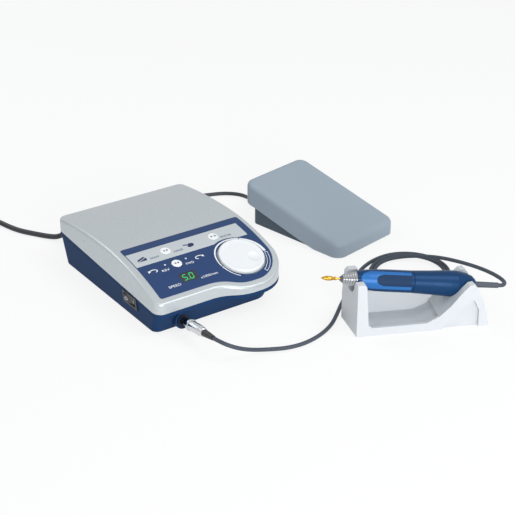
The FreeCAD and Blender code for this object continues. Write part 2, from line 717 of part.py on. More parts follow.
def make_unit_small_parts():
    feet = [round_bar("foot%d" % index, "foot_dia", "foot_drop + foot_seat", place)
            for index, place in enumerate(foot_places())]
    node(group("rubber_feet", feet), "rubber_feet")

    screws = []
    for index, spot in enumerate(SCREW_SPOTS):
        shape = [("5", "0"), ("28", "0"), ("28", "1.5"), ("8", "1.5"), ("8", "3"), ("5", "3")]
        screws.append(turned("housing_screw%d" % index, shape, "Z", screw_place(spot)))
    node(group("housing_screws", screws), "housing_screws")


make_unit_small_parts()


# Panel sheet, display window, keys and knob

def panel_outline(name):
    """Plan outline of the printed sheet: straight rear edge, S curve in front and a round end at the knob."""
    left = "(-unit_width / 2 + label_inset + label_left_more)"
    right = "(unit_width / 2 - label_inset)"
    edge = "(-unit_depth / 2 + label_inset)"
    return outline(name, [("%s + 3" % left, edge)] + front_curve("label_inset") + [
        (right, "%s - 3" % LABEL_REAR, "3", -1),
        ("%s - 3" % right, LABEL_REAR),
        ("%s + 3" % left, LABEL_REAR, "3", -1),
        (left, "%s - 3" % LABEL_REAR),
        (left, "%s + 3" % edge, "3", -1),
    ])


def make_panel():
    sheet_block = plan_and_side("label_block", panel_outline("label_plan"),
                                crown_band("label_side", "label_lift", "label_thick"))
    tools = [round_bar("label_well", "knob_dia + 2 * knob_gap", "20",
                       crown_place("knob_side", KNOB_ALONG, -size("well_deep"))),
             block("label_window", "window_wide + 0.4", "window_tall + 0.4", "10",
                   crown_place("window_side", WINDOW_ALONG, -6))]
    for label, across, slope in KEYS:
        tools.append(round_bar(label + "_label_hole", "key_dia + 2 * key_play", "10",
                               key_field_place(across, slope, -6)))
    for index, (across, slope) in enumerate(LIGHT_SPOTS):
        tools.append(round_bar("label_light%d" % index, "led_dia + 0.2", "10",
                               key_field_place(across, slope, -6)))
    node(cut("panel_label", sheet_block, tools), "panel_label")
    node(block("display_window", "window_wide", "window_tall", "2.8",
               crown_place("window_side", WINDOW_ALONG, -2.6)), "display_window")

    for label, across, slope in KEYS:
        stem_end = -size("board_deep") + SWITCH_HIGH + size("key_travel") + 0.1
        profile = [
            (stem_end, "0"), (stem_end, "2.4"), ("-4.4", "2.4"), ("-4.4", "key_dia / 2 + 1.2"),
            ("-3.2", "key_dia / 2 + 1.2"), ("-3.2", "key_dia / 2"), ("key_rise - 0.5", "key_dia / 2"),
            ("key_rise", "key_dia / 2 - 0.5"), ("key_rise", "0"),
        ]
        node(turned(label, profile, "Z", key_field_place(across, slope)), label)

    knob_place = crown_place("knob_side", KNOB_ALONG)
    rim = "knob_dia / 2"
    knob = turned("knob_turned", [
        ("2", "0"), ("2", "shaft_dia / 2 + 0.03"), ("1.2", "shaft_dia / 2 + 0.03"), ("1.2", "5.5"), ("-well_deep + 0.3", "5.5"),
        ("-well_deep + 0.3", rim + " - 0.8"), ("-well_deep + 1.1", rim), ("knob_rise - 1.6", rim),
        ("knob_rise - 0.4", rim + " - 0.5"), ("knob_rise", rim + " - 1.8"), ("knob_rise - 0.4", rim + " - 6"),
        ("knob_rise - 0.4", "0"),
    ], "Z")
    turn = math.radians(size("dimple_turn"))
    reach = size("dimple_reach")
    ball = doc.addObject("Part::Sphere", "dimple_ball")
    bind(ball, Radius="dimple_dia ^ 2 / 8 / 1.4 + 0.7")
    depth_centre = size("knob_rise - 0.4") - 1.4 + size("dimple_dia ^ 2 / 8 / 1.4 + 0.7")
    ball.Placement = Placement(Vector(reach * math.cos(turn), reach * math.sin(turn), depth_centre), Rotation())
    node(cut("speed_knob", knob, [ball]), "speed_knob", knob_place)

    node(round_bar("potentiometer_shaft", "shaft_dia", "15", crown_place("knob_side", KNOB_ALONG, -13)),
         "potentiometer_shaft")
    node(turned("potentiometer_body", [
        ("-14", "shaft_dia / 2 + shaft_play"), ("-14", "8.5"), ("-well_deep - 2", "8.5"),
        ("-well_deep - 2", "3.9"), ("0.6", "3.9"), ("0.6", "shaft_dia / 2 + shaft_play"),
    ], "Z", knob_place), "potentiometer_body")


make_panel()


def make_front_board():
    thick = -size("board_deep + board_thick")
    corners = [("-62", "-43"), ("20", "-43"), ("20", "-12"), ("42", "-12"), ("42", "19"), ("-62", "19")]
    node(padded("front_board", corners, "board_thick", place=key_field_place("0", "0", thick)), "front_board")
    switches = []
    for label, across, slope in KEYS:
        lift = -size("board_deep")
        switches.append(fuse(label + "_switch", [
            block(label + "_switch_case", "6", "6", "3.4", key_field_place(across, slope, lift)),
            round_bar(label + "_plunger", "3.2", str(SWITCH_HIGH), key_field_place(across, slope, lift)),
        ]))
    node(group("key_switches", switches), "key_switches")
    lights = []
    for index, (across, slope) in enumerate(LIGHT_SPOTS):
        lift = -size("board_deep")
        tall = size("board_deep") + 0.55
        lights.append(round_bar("light%d" % index, "led_dia", str(tall), key_field_place(across, slope, lift)))
    node(group("indicator_leds", lights), "indicator_leds")
    spot = crown_place("0", KEYS_ALONG)
    centre = spot.inverse().multVec(crown_place("window_side", WINDOW_ALONG).Base)
    node(block("display_module", "window_wide", "window_tall + 2", "6",
               key_field_place("window_side", str(centre.y), -size("board_deep"))), "display_module")


make_front_board()


# Power electronics on the base floor

def on_power_board(across, along):
    """Placement on the power board's upper side, from the board's middle."""
    return at("%s + %g" % (POWER_BOARD_MID[0], across), "%s + %g" % (POWER_BOARD_MID[1], along),
              "%s + %d + board_thick" % (FLOOR_TOP, BOARD_LIFT))


def make_power_parts():
    board_place = at(POWER_BOARD_MID[0], POWER_BOARD_MID[1], "%s + %d" % (FLOOR_TOP, BOARD_LIFT))
    node(block("power_board", "62", "104", "board_thick", board_place), "power_board")
    node(group("board_components", [
        round_bar("front_capacitor", "16", "25", on_power_board(18, -28)),
        round_bar("rear_capacitor", "16", "25", on_power_board(18, -6)),
        block("relay", "16", "20", "16", on_power_board(-12, -28)),
        block("supply_choke", "22", "18", "18", on_power_board(-12, -2)),
        block("wire_header", "26", "6", "9", on_power_board(-12, -44)),
    ]), "board_components")

    stack = at("46 - unit_width / 2", "unit_depth / 2 - 51.5", FLOOR_TOP)
    core = block("transformer_core", "58", "30", "50", stack.multiply(at(0, 0, 2)))
    coil = block("transformer_coil", "38", "46", "30", stack.multiply(at(0, 0, 12)))
    feet = block("transformer_foot", "74", "30", "2", stack)
    softened = doc.addObject("Part::Fillet", "transformer_coil_round")
    doc.recompute()
    softened.Base = coil
    softened.Edges = [(index, 5, 5) for index, edge in enumerate(coil.Shape.Edges, start=1)
                      if abs(edge.tangentAt(edge.FirstParameter).z) > 0.9]
    node(fuse("transformer", [core, softened, feet]), "transformer")

    count = 6
    pitch = 8
    fin_thick = 2
    plate_thick = 4
    high = 24
    wide = pitch * count
    fins = [(0, 0), (wide, 0), (wide, high)]
    for index in range(count):
        right = wide - pitch * index
        fins += [(right - fin_thick, high), (right - fin_thick, plate_thick)]
        if index < count - 1:
            fins += [(right - pitch, plate_thick), (right - pitch, high)]
    fins.append((0, plate_thick))
    node(padded("heat_sink", fins, "26", "XZ_Plane", on_power_board(-24, 45)), "heat_sink")


make_power_parts()


# Power switch on the left wall

def make_switch():
    place = switch_place()
    flange = block("switch_flange", "switch_long", "switch_tall", "1.4")
    case = block("switch_case", "switch_long - 3.4", "switch_tall - 3.4", "19",
                 Placement(Vector(0, 0, -19), Rotation()))
    mouth = block("switch_mouth", "switch_long - 6", "switch_tall - 5", "12", Placement(Vector(0, 0, -9), Rotation()))
    node(cut("switch_frame", fuse("switch_solid", [flange, case]), [mouth]), "switch_frame", place)

    reach = "(switch_long / 2 - 3.4)"
    rise = "(%s * tan(rocker_tip))" % reach
    deep = "(-sqrt(%s ^ 2 - 8 ^ 2))" % reach
    # Seen from above the rocker is a shallow V with round ends about its pivot
    corners = [
        ("-8", "-6"), ("8", "-6"), ("%s * cos(25)" % reach, "-1 - %s * sin(25)" % reach, reach, -1),
        ("%s * cos(rocker_tip)" % reach, "-1 + %s * sin(rocker_tip)" % reach), ("0", "0.6"),
        ("-%s * cos(rocker_tip)" % reach, "-1 + %s * sin(rocker_tip)" % reach, reach, -1),
        ("-%s * cos(25)" % reach, "-1 - %s * sin(25)" % reach),
    ]
    body = padded("switch_rocker", corners, "switch_tall - 5.6", "XZ_Plane", middle=True)
    tip = Placement(Vector(0, 0, 0), Rotation(Vector(0, 1, 0), -size("rocker_tip")), Vector(0, 0, -1))
    node(body, "switch_rocker", place.multiply(tip))


make_switch()


# Motor socket, plug and rear wall fittings

def make_sockets():
    node(turned("motor_socket", [
        ("-15", "0"), ("-15", "6.5"), ("0", "6.5"), ("0", "socket_dia / 2"), ("1.4", "socket_dia / 2"),
        ("1.4", "plug_nose_dia / 2 + 0.1"), ("-11", "plug_nose_dia / 2 + 0.1"), ("-11", "0"),
    ], "Z", socket_place(0)), "motor_socket")
    out = "plug_nose_out"
    node(turned("plug_nose", [
        ("-10", "0"), ("-10", "plug_nose_dia / 2"), (out, "plug_nose_dia / 2"), (out, "0"),
    ], "Z", socket_place(0)), "plug_nose")
    ring = "plug_ring_dia / 2"
    node(turned("plug_ring", [
        (out, "0"), (out, ring + " - 0.5"), (out + " + 0.6", ring), (out + " + 2.6", ring),
        (out + " + 3.2", ring + " - 0.5"), (out + " + 3.2", "0"),
    ], "Z", socket_place(0)), "plug_ring")
    shell = "plug_shell_dia / 2"
    start = out + " + 3.2"
    end = start + " + plug_shell_long"
    node(turned("plug_shell", [
        (start, "0"), (start, shell), (end + " - 6", shell), (end + " - 5", shell + " - 0.8"),
        (end + " - 0.8", shell + " - 0.8"), (end, shell + " - 1.6"), (end, "0"),
    ], "Z", socket_place(0)), "plug_shell")
    node(turned("plug_boot", [
        (end, "0"), (end, "3.9"), (end + " + 5", "3.8"), (end + " + plug_boot_long", "motor_cord_dia / 2 + 0.5"),
        (end + " + plug_boot_long", "0"),
    ], "Z", socket_place(0)), "plug_boot")

    wall_face = size(HALF_DEEP) - size("base_rear_in") * (
        size(parting(HALF_DEEP)) - size("gland_up")) / size(parting(HALF_DEEP, "-foot_drop"))
    gland = rear_place(GLAND_SIDE, str(wall_face))
    node(turned("mains_gland", [
        ("-8", "0"), ("-8", "7.5"), ("-4.8", "7.5"), ("-4.8", "5.85"), ("2", "5.85"), ("2", "7.5"),
        ("4", "7.5"), ("6", "6.2"), ("gland_long", "power_cord_dia / 2 + 0.8"), ("gland_long", "0"),
    ], "Z", gland), "mains_gland")
    socket = rear_place("pedal_socket_side", str(wall_face))
    node(turned("pedal_socket", [
        ("-14", "0"), ("-14", "6.9"), ("2", "6.9"), ("2", "8.5"), ("3.8", "8.5"), ("3.8", "4.9"), ("-10", "4.9"),
        ("-10", "0"),
    ], "Z", socket), "pedal_socket")
    node(turned("pedal_plug", [
        ("-9", "0"), ("-9", "4.8"), ("4", "4.8"), ("4", "6.4"), ("18", "6.4"), ("20", "5"),
        ("pedal_plug_long", "pedal_cord_dia / 2 + 0.7"), ("pedal_plug_long", "0"),
    ], "Z", socket), "pedal_plug")
    node(turned("fuse_holder", [
        ("-30", "0"), ("-30", "6.1"), ("1.9", "6.1"), ("1.9", "8"), ("7", "8"), ("8", "7"), ("8", "0"),
    ], "Z", rear_place("pedal_socket_side + fuse_beside", str(wall_face))), "fuse_holder")
    return wall_face


REAR_WALL = make_sockets()


# Handpiece

STAND = at("stand_x", "stand_y", "0", Rotation(Vector(0, 0, 1), size("stand_turn")))
REST = STAND.multiply(at("rest_along", "rest_deep", "rest_height", Rotation(Vector(0, 1, 0), size("rest_tilt"))))


def make_handpiece():
    bore = "bearing_dia / 2"
    shank = "bur_shank_dia / 2"
    head = "bur_head_dia / 2"
    tip = "-bur_out"
    node(turned("bur", [
        (tip, "0"), (tip + " + 3", head + " * 0.62"), (tip + " + 7.5", head), (tip + " + 11", head + " * 0.93"),
        (tip + " + 15", "1.6"), (tip + " + 16", "2"), (tip + " + 17.2", "2"), (tip + " + 17.2", shank),
        ("12", shank), ("12", "0"),
    ]), "bur", REST)
    node(turned("collet", [
        ("0", shank), ("0", "2.6"), ("1.6", "3.5"), ("nose_from", "3.9"), ("14", "3.9"), ("14", "0"), ("12", "0"),
        ("12", shank),
    ]), "collet", REST)
    spindle = "spindle_dia / 2"
    node(turned("spindle", [
        ("14", "0"), ("14", spindle), ("motor_to - 5", spindle), ("motor_to - 5", "0"),
    ]), "spindle", REST)

    ridges = 6
    cone = [("nose_from", "4.15"), ("nose_from", "nose_tip_dia / 2 - 0.4")]
    run = "(nose_to - nose_from)"
    grow = "(nose_base_dia - nose_tip_dia) / 2"
    for index in range(ridges):
        start = "nose_from + %s * %g" % (run, (index + 0.15) / ridges)
        crest = "nose_from + %s * %g" % (run, (index + 0.72) / ridges)
        foot = "nose_from + %s * %g" % (run, (index + 0.95) / ridges)
        cone.append((start, "nose_tip_dia / 2 + %s * %g" % (grow, (index + 0.15) / ridges)))
        cone.append((crest, "nose_tip_dia / 2 + %s * %g" % (grow, (index + 0.72) / ridges)))
        cone.append((foot, "nose_tip_dia / 2 + %s * %g - 0.45" % (grow, (index + 0.95) / ridges)))
    cone += [("nose_to", "nose_base_dia / 2 - 0.45"), ("nose_to", "6.5"), ("13", "6.5"), ("13", "4.15")]
    node(turned("nose_cone", cone), "nose_cone", REST)

    sleeve_bore = "tube_dia / 2 + sleeve_play"
    widest = "grip_dia / 2"
    sleeve = turned("sleeve_turned", [
        ("nose_to + 0.2", sleeve_bore), ("nose_to + 0.2", "grip_ring_dia / 2 - 0.3"),
        ("nose_to + 3", "grip_ring_dia / 2"), ("nose_to + 3.2", "grip_ring_dia / 2 + 0.3"),
        ("30", widest + " - 1.05"), ("39", widest + " - 0.35"), ("52", widest), ("seam_at - 0.4", widest),
        ("seam_at - 0.2", widest + " - 0.2"), ("seam_at - 0.2", sleeve_bore),
    ])
    skin = turned("sleeve_skin", [
        ("nose_to + 0.2", "grip_ring_dia / 2 - 0.3 - inlay_deep"), ("nose_to + 0.2", "grip_ring_dia / 2 - 0.3"),
        ("nose_to + 3", "grip_ring_dia / 2"), ("nose_to + 3.2", "grip_ring_dia / 2 + 0.3"),
        ("30", widest + " - 1.05"), ("39", widest + " - 0.35"), ("52", widest), ("seam_at - 3", widest),
        ("seam_at - 3", widest + " - inlay_deep"), ("52", widest + " - inlay_deep"),
        ("39", widest + " - 0.35 - inlay_deep"), ("30", widest + " - 1.05 - inlay_deep"),
    ])
    accent_half = "accent_wide / 2"
    pad_half = "pad_wide / 2"

    def tongue(name, start, half, nose):
        """Outline of an inlay: a round tip in front, straight sides and a square end at the seam."""
        return outline(name, [
            ("%s + %s" % (start, nose), "-(%s)" % half), ("seam_at + 2", "-(%s)" % half),
            ("seam_at + 2", half), ("%s + %s" % (start, nose), half),
            ("%s + %s * 0.28" % (start, nose), "%s * 0.72" % half), (start, "%s * 0.3" % half),
            (start, "-%s * 0.3" % half), ("%s + %s * 0.28" % (start, nose), "-%s * 0.72" % half),
        ])

    facing = Rotation(Vector(1, 0, 0), 90 - size("inlay_roll"))
    accent_tools = []
    pad_tools = []
    for side, turn in enumerate((0, 180)):
        roll = Rotation(Vector(1, 0, 0), turn).multiply(facing)
        accent_prism = prism("accent_prism%d" % side, tongue("accent_outline%d" % side, "accent_from",
                                                             accent_half, "11"), "20")
        accent_prism.Placement = Placement(Vector(), roll)
        pad_prism = prism("pad_prism%d" % side, tongue("pad_outline%d" % side, "pad_from", pad_half, "8"), "20")
        pad_prism.Placement = Placement(Vector(), roll)
        accent_tools.append(accent_prism)
        pad_tools.append(pad_prism)
    inlay_zone = common("inlay_zone", skin, fuse("accent_both", accent_tools))
    node(cut("grip_sleeve", sleeve, [inlay_zone]), "grip_sleeve", REST)
    pads = fuse("pads_both", pad_tools)
    node(cut("grip_accent", inlay_zone, [pads]), "grip_accent", REST)
    node(common("grip_pad", inlay_zone, pads), "grip_pad", REST)

    motor = "motor_dia / 2"
    chamber = "(motor_dia / 2 - 3.2)"
    spigot = "(%s - 0.1)" % chamber
    tube = "tube_dia / 2"
    node(turned("motor_housing", [
        ("13", bore), ("13", "6.4"), ("nose_to", "6.4"), ("nose_to", tube), ("seam_at + 0.1", tube),
        ("seam_at + 0.1", widest + " - 0.3"), ("seam_at + 0.5", widest + " + 0.05"),
        ("motor_to - 28", motor + " - 1.2"), ("motor_to - 17", motor + " - 0.45"), ("motor_to - 9", motor),
        ("motor_to - 0.3", motor), ("motor_to", motor + " - 0.2"),
        ("motor_to", chamber), ("seam_at + 5", chamber), ("seam_at + 5", bore),
    ]), "motor_housing", REST)
    node(turned("tail_cap", [
        ("motor_to", spigot), ("motor_to - 11", spigot), ("motor_to - 11", bore), ("motor_to - 3", bore),
        ("motor_to - 3", "3"), ("tail_to", "3"),
        ("tail_to", "boot_dia / 2 + 2.4"), ("tail_to - 1", "boot_dia / 2 + 3.6"), ("tail_to - 3.7", "8.7"),
        ("tail_to - 3.7", "9.4"), ("tail_to - 6", "10.4"), ("tail_to - 9.6", "11.3"), ("tail_to - 9.6", "12.1"),
        ("motor_to + 7", motor + " - 1.2"), ("motor_to + 0.3", motor + " - 0.1"), ("motor_to", motor + " - 0.3"),
    ]), "tail_cap", REST)
    node(turned("cord_boot", [
        ("tail_to - 12", "0"), ("tail_to - 12", "2.95"), ("tail_to + 0.1", "2.95"), ("tail_to + 0.1", "boot_dia / 2"),
        ("tail_to + boot_long - 1", "boot_dia / 2 - 0.3"), ("tail_to + boot_long", "boot_dia / 2 - 0.8"),
        ("tail_to + boot_long", "0"),
    ]), "cord_boot", REST)
    for label, start in (("front_bearing", "20"), ("rear_bearing", "motor_to - 10")):
        end = start + " + bearing_wide"
        ring = spindle + " + spindle_play"
        node(turned(label, [(start, ring), (start, bore), (end, bore), (end, ring)]), label, REST)
    first = "seam_at + 6"
    last = "motor_to - 12"
    node(turned("stator", [(first, "6.7"), (first, spigot), (last, spigot), (last, "6.7")]), "stator", REST)
    first = "seam_at + 8"
    last = "motor_to - 14"
    hub = spindle + " + 0.03"
    node(turned("rotor", [(first, hub), (first, "6.3"), (last, "6.3"), (last, hub)]), "rotor", REST)


make_handpiece()


# Stand

def make_stand():
    plan = outline("stand_plan", [
        ("-2", "0"), ("stand_long + 2", "0"), ("stand_long + 2", "stand_deep"), ("-8", "stand_deep"),
    ])
    # Front view with the rear wall as its skyline
    side = outline("stand_skyline", [
        ("-9", "0"), ("stand_long", "0"), ("stand_long - 3.5", "16.5"), ("stand_long - 6.8", "29"),
        ("stand_long - 11.5", "41"), ("crest_at + 7", "crest_top - 4"), ("crest_at + 3", "crest_top"),
        ("crest_at - 2", "crest_top - 0.8"), ("crest_at - 8", "crest_top - 7"), ("100", "rear_wall_high + 1"),
        ("86", "rear_wall_high"), ("26", "rear_wall_high"), ("post_thick + 2", "rear_wall_high + 8"),
        ("post_thick - 3", "post_top - 3"), ("post_thick - 5.5", "post_top"), ("-3", "post_top"),
        ("-6", "post_top - 3"), ("-9", "20"),
    ], "XZ_Plane")
    block_shape = common("stand_block", prism("stand_plan_prism", plan, "80"),
                         prism("stand_side_prism", side, "0", "60"))
    # Everything above the front lip and the front of the ramp is open from the front
    front_cut = outline("stand_front_cut", [
        ("post_thick", "lip_high + 4"), ("post_thick + 4", "lip_high"), ("76", "lip_high"), ("90.5", "lip_high + 7"),
        ("102.5", "27.5"), ("116.5", "45"), ("crest_at - 2.4", "crest_top - 0.9"), ("crest_at - 2.4", "90"),
        ("post_thick - 3", "90"), ("post_thick - 3", "post_top - 6"),
    ], "XZ_Plane")
    opening = prism("stand_opening", front_cut, "5", "stand_deep - stand_wall - 1")
    tray = outline("stand_tray", [
        ("post_thick + 2", "tray_floor + 5"), ("post_thick + 7", "tray_floor"), ("72", "tray_floor"),
        ("90", "tray_floor + 7"), ("90", "40"), ("post_thick + 2", "40"),
    ], "XZ_Plane")
    trough = prism("stand_trough", tray, "-stand_wall", "stand_deep - stand_wall - 1")
    rest = at("rest_along", "rest_deep", "rest_height", Rotation(Vector(0, 1, 0), size("rest_tilt")))
    cradle = turned("cradle_cut", [
        ("-10", "0"), ("-10", "13"), ("14", "13.3"), ("30", "14"), ("80", "grip_dia / 2 + 2"),
        ("motor_to - 28", "motor_dia / 2 - 1.2 + rest_gap"),
        ("motor_to - 17", "motor_dia / 2 - 0.45 + rest_gap"), ("motor_to - 9", "motor_dia / 2 + rest_gap"),
        ("motor_to", "motor_dia / 2 + rest_gap"),
        ("motor_to + 7", "motor_dia / 2 - 1.2 + rest_gap"), ("tail_to - 9.6", "12.1 + rest_gap"),
        ("tail_to + 6", "11.2 + rest_gap"), ("tail_to + 14", "11"), ("tail_to + 14", "0"),
    ], "X", rest)
    rise = fuse("cradle_way", [cradle, block("cradle_mouth", "200", "motor_dia + 2 * rest_gap", "60",
                                             rest.multiply(Placement(Vector(60, 0, 0), Rotation())))])
    panel = outline("stand_panel", [
        ("92", "-1"), ("135", "-1"), ("135", "20"), ("129", "33"), ("112", "20"),
    ], "XZ_Plane")
    panel_cut = prism("stand_panel_cut", panel, "1", "4")
    under_post = outline("under_post_plan", rectangle("1", "post_thick - 3.5", "stand_wall",
                                                      "stand_deep - stand_wall"))
    post_hollow = prism("post_hollow", under_post, "36", "1")
    ramp_hollow = prism("ramp_hollow", outline("ramp_hollow_side", [
        ("96", "-1"), ("stand_long - 8", "-1"), ("stand_long - 10", "14"), ("116", "14"), ("100", "6"),
    ], "XZ_Plane"), "-stand_wall - 4", "stand_deep - stand_wall")
    node(cut("stand", block_shape, [opening, trough, rise, panel_cut, post_hollow, ramp_hollow]), "stand", STAND)


make_stand()


# Foot pedal

PEDAL = at("pedal_x", "pedal_y", "0", Rotation(Vector(0, 0, 1), size("pedal_turn")))
PEDAL_SLOPE = "((pedal_high - pedal_low) / (pedal_front + pedal_out))"


def pedal_top(along, lift="0"):
    return "(pedal_low + %s * (%s + pedal_front) + (%s))" % (PEDAL_SLOPE, along, lift)


def pedal_solid(name, inset, low, top_lift):
    """Pedal cover's volume inside its outline, from its lower edge up to its sloping top."""
    plan = outline(name + "_plan", rectangle("(%s)" % inset, "(pedal_wide - %s)" % inset,
                                             "(-pedal_front + %s)" % inset, "(pedal_out - %s)" % inset,
                                             "(pedal_corner - %s)" % inset))
    front = "(-pedal_front - 5)"
    rear = "(pedal_out + 5)"
    side = outline(name + "_side", low + [(rear, pedal_top(rear, top_lift)), (front, pedal_top(front, top_lift))],
                   "YZ_Plane")
    return common(name, prism(name + "_up", plan, "80", "5"), prism(name + "_across", side, "pedal_wide + 5", "5"))


PEDAL_MID = "(pedal_wide / 2)"
LUG_IN = 10
EAR_IN = 14.4
PEDAL_BOARD_MID = (27, -45)
PEDAL_ACROSS = Rotation(Vector(0, 1, 0), 90)


def pin_way(name, dia, inset):
    """Round bar along the hinge's axis, this far inside the cover's sides."""
    return round_bar(name, dia, "pedal_wide - 2 * %g" % inset,
                     at(inset, "-pedal_hinge_at", "pedal_hinge_up", PEDAL_ACROSS))


def pedal_feet(name):
    return [round_bar("%s%d" % (name, index), "foot_dia", "foot_drop + foot_seat", at(across, along))
            for index, (across, along) in enumerate([
                ("13", "-12"), ("pedal_wide - 13", "-12"), ("13", "14 - pedal_front"),
                ("pedal_wide - 13", "14 - pedal_front")])]


def make_pedal():
    lower = [("-pedal_front - 5", "skirt_front"), ("-105", "skirt_front"), ("-skirt_bend_at", "skirt_bend"),
             ("-7", "skirt_rear - 4"), ("pedal_out + 5", "skirt_rear + 1")]
    outer = pedal_solid("pedal_outer", "0", lower, "0")
    doc.recompute()
    rounded = doc.addObject("Part::Fillet", "pedal_rounded")
    rounded.Base = outer
    edges = []
    for index, edge in enumerate(outer.Shape.Edges, start=1):
        points = [vertex.Point for vertex in edge.Vertexes]
        points.append(edge.valueAt((edge.FirstParameter + edge.LastParameter) / 2))
        if all(abs(point.z - size(pedal_top(str(point.y)))) < 0.02 for point in points):
            edges.append((index, size("pedal_edge"), size("pedal_edge")))
    rounded.Edges = edges
    deep = [("-pedal_front - 5", "-5"), ("pedal_out + 5", "-5")]
    hollow = pedal_solid("pedal_hollow", "pedal_wall", deep, "-pedal_wall - 1")
    lugs = []
    for index, side in enumerate((str(LUG_IN), "pedal_wide - %d" % LUG_IN)):
        lug = block("cover_lug%d" % index, "4", "9", "14", at(side, "-pedal_hinge_at", "pedal_hinge_up - 3.3"))
        lugs.append(common("cover_lug_trim%d" % index, lug, pedal_solid("lug_room%d" % index, "0.5", deep, "-1.5")))
    spring_seat = round_bar("spring_seat_cover", "spring_dia + 5", "12",
                            at(PEDAL_MID, "-spring_at", pedal_top("-spring_at", "-pedal_wall - 8")))
    seat_trim = common("spring_seat_trim", spring_seat, pedal_solid("seat_room", "1", deep, "-1.5"))
    body = fuse("pedal_cover_body", [cut("pedal_shell", rounded, [hollow])] + lugs + [seat_trim])
    node(cut("pedal_cover", body, [pin_way("cover_pin_way", "pin_dia + 2 * pin_play", 6)]), "pedal_cover", PEDAL)

    inset = "(pedal_wall + pedal_lap)"
    base_plan = outline("pedal_base_plan", rectangle(inset, "(pedal_wide - %s)" % inset,
                                                     "(-pedal_front + %s + 1.5)" % inset, "0", "8"))
    wedge = [("-pedal_front - 2", "foot_drop"), ("2", "foot_drop"), ("2", "34"), ("-44", "26"), ("-84", "13"),
             ("-104", "7"), ("-pedal_front - 2", "5")]
    base_side = outline("pedal_base_side", wedge, "YZ_Plane")
    base_block = common("pedal_base_block", prism("pedal_base_up", base_plan, "60"),
                        prism("pedal_base_across", base_side, "pedal_wide", "5"))
    inner_plan = outline("pedal_tub_plan", rectangle("(%s + pedal_wall)" % inset,
                                                     "(pedal_wide - %s - pedal_wall)" % inset,
                                                     "(-pedal_front + %s + 1.5 + pedal_wall)" % inset,
                                                     "-pedal_wall", "6"))
    tub = prism("pedal_tub", inner_plan, "60")
    bind(tub, Placement__Base__z="foot_drop + pedal_wall + 0.5")
    shell = cut("pedal_base_shell", base_block, [tub])
    ears = [block("base_ear%d" % index, "4", "10", "11", at(side, "-pedal_hinge_at", "foot_drop"))
            for index, side in enumerate((str(EAR_IN), "pedal_wide - %g" % EAR_IN))]
    seat = round_bar("spring_seat_base", "spring_dia - 2 * spring_wire - 1", "12",
                     at(PEDAL_MID, "-spring_at", "foot_drop"))
    board = PEDAL_BOARD_MID
    posts = [round_bar("sensor_post%d" % index, "5", "8", at(board[0] + across, board[1] + along, "foot_drop"))
             for index, (across, along) in enumerate(mirrored_places("10", "15"))]
    body = fuse("pedal_base_body", [shell] + ears + [seat] + posts)
    tools = [
        pin_way("base_pin_way", "pin_dia", 11),
        round_bar("pedal_gland_hole", "9", "10", at("pedal_gland_side", "-6", "12", Rotation(Vector(1, 0, 0), -90))),
    ]
    node(cut("pedal_base", body, tools + pedal_feet("pedal_foot_recess")), "pedal_base", PEDAL)
    node(group("pedal_feet", pedal_feet("pedal_foot")), "pedal_feet", PEDAL)
    node(pin_way("hinge_pin", "pin_dia", 7), "hinge_pin",
         PEDAL.multiply(at(7, "-pedal_hinge_at", "pedal_hinge_up", PEDAL_ACROSS)))
    corner = at(board[0] - 15, board[1] - 22, "foot_drop + 8")
    node(block("pedal_board", "30", "44", "board_thick"), "pedal_board", PEDAL.multiply(corner))
    node(turned("pedal_gland", [
        ("-6.5", "0"), ("-6.5", "6"), ("-2.2", "6"), ("-2.2", "4.4"), ("0.2", "4.4"), ("0.2", "6"), ("3", "6"),
        ("22", "pedal_cord_dia / 2 + 0.7"), ("22", "0"),
    ], "Z", PEDAL.multiply(at("pedal_gland_side", "0", "12", Rotation(Vector(1, 0, 0), -90)))), "pedal_gland")


make_pedal()


def make_spring():
    """Return spring: a round wire carried along a helix between the two seats."""
    low = size("foot_drop + pedal_wall + 0.5 + 0.2 + spring_wire / 2")
    high = size(pedal_top("-spring_at", "-pedal_wall - 8")) - 0.3 - size("spring_wire / 2")
    turns = 6
    radius = size("(spring_dia - spring_wire) / 2")
    helix = Part.makeHelix((high - low) / turns, high - low, radius)
    ring = Part.makeCircle(size("spring_wire / 2"), Vector(radius, 0, 0), Vector(0, 1, 0))
    wire = Part.Wire([ring])
    solid = Part.Wire(helix.Edges).makePipeShell([wire], True, True)
    spring = doc.addObject("Part::Feature", "return_spring")
    spring.Shape = solid
    node(spring, "return_spring", PEDAL.multiply(at(PEDAL_MID, "-spring_at", low)))


make_spring()


# Cords: straight runs joined by tangent arcs

ARC_SHARE = 0.45


def cord_path(points):
    """Wire of straight runs and tangent arcs; each arc takes a set share of its shorter run."""
    edges = []
    radii = []
    here = points[0]
    for before, corner, after in zip(points, points[1:], points[2:]):
        inward = corner - before
        outward = after - corner
        share = ARC_SHARE * min(inward.Length, outward.Length)
        inward.normalize()
        outward.normalize()
        turn = inward.getAngle(outward)
        radius = share / math.tan(turn / 2)
        start = corner - inward * share
        end = corner + outward * share
        bisector = (outward - inward).normalize()
        centre = corner + bisector * math.hypot(radius, share)
        middle = centre - bisector * radius
        edges.append(Part.LineSegment(here, start).toShape())
        edges.append(Part.Arc(start, middle, end).toShape())
        radii.append(radius)
        here = end
    edges.append(Part.LineSegment(here, points[-1]).toShape())
    return Part.Wire(edges), radii


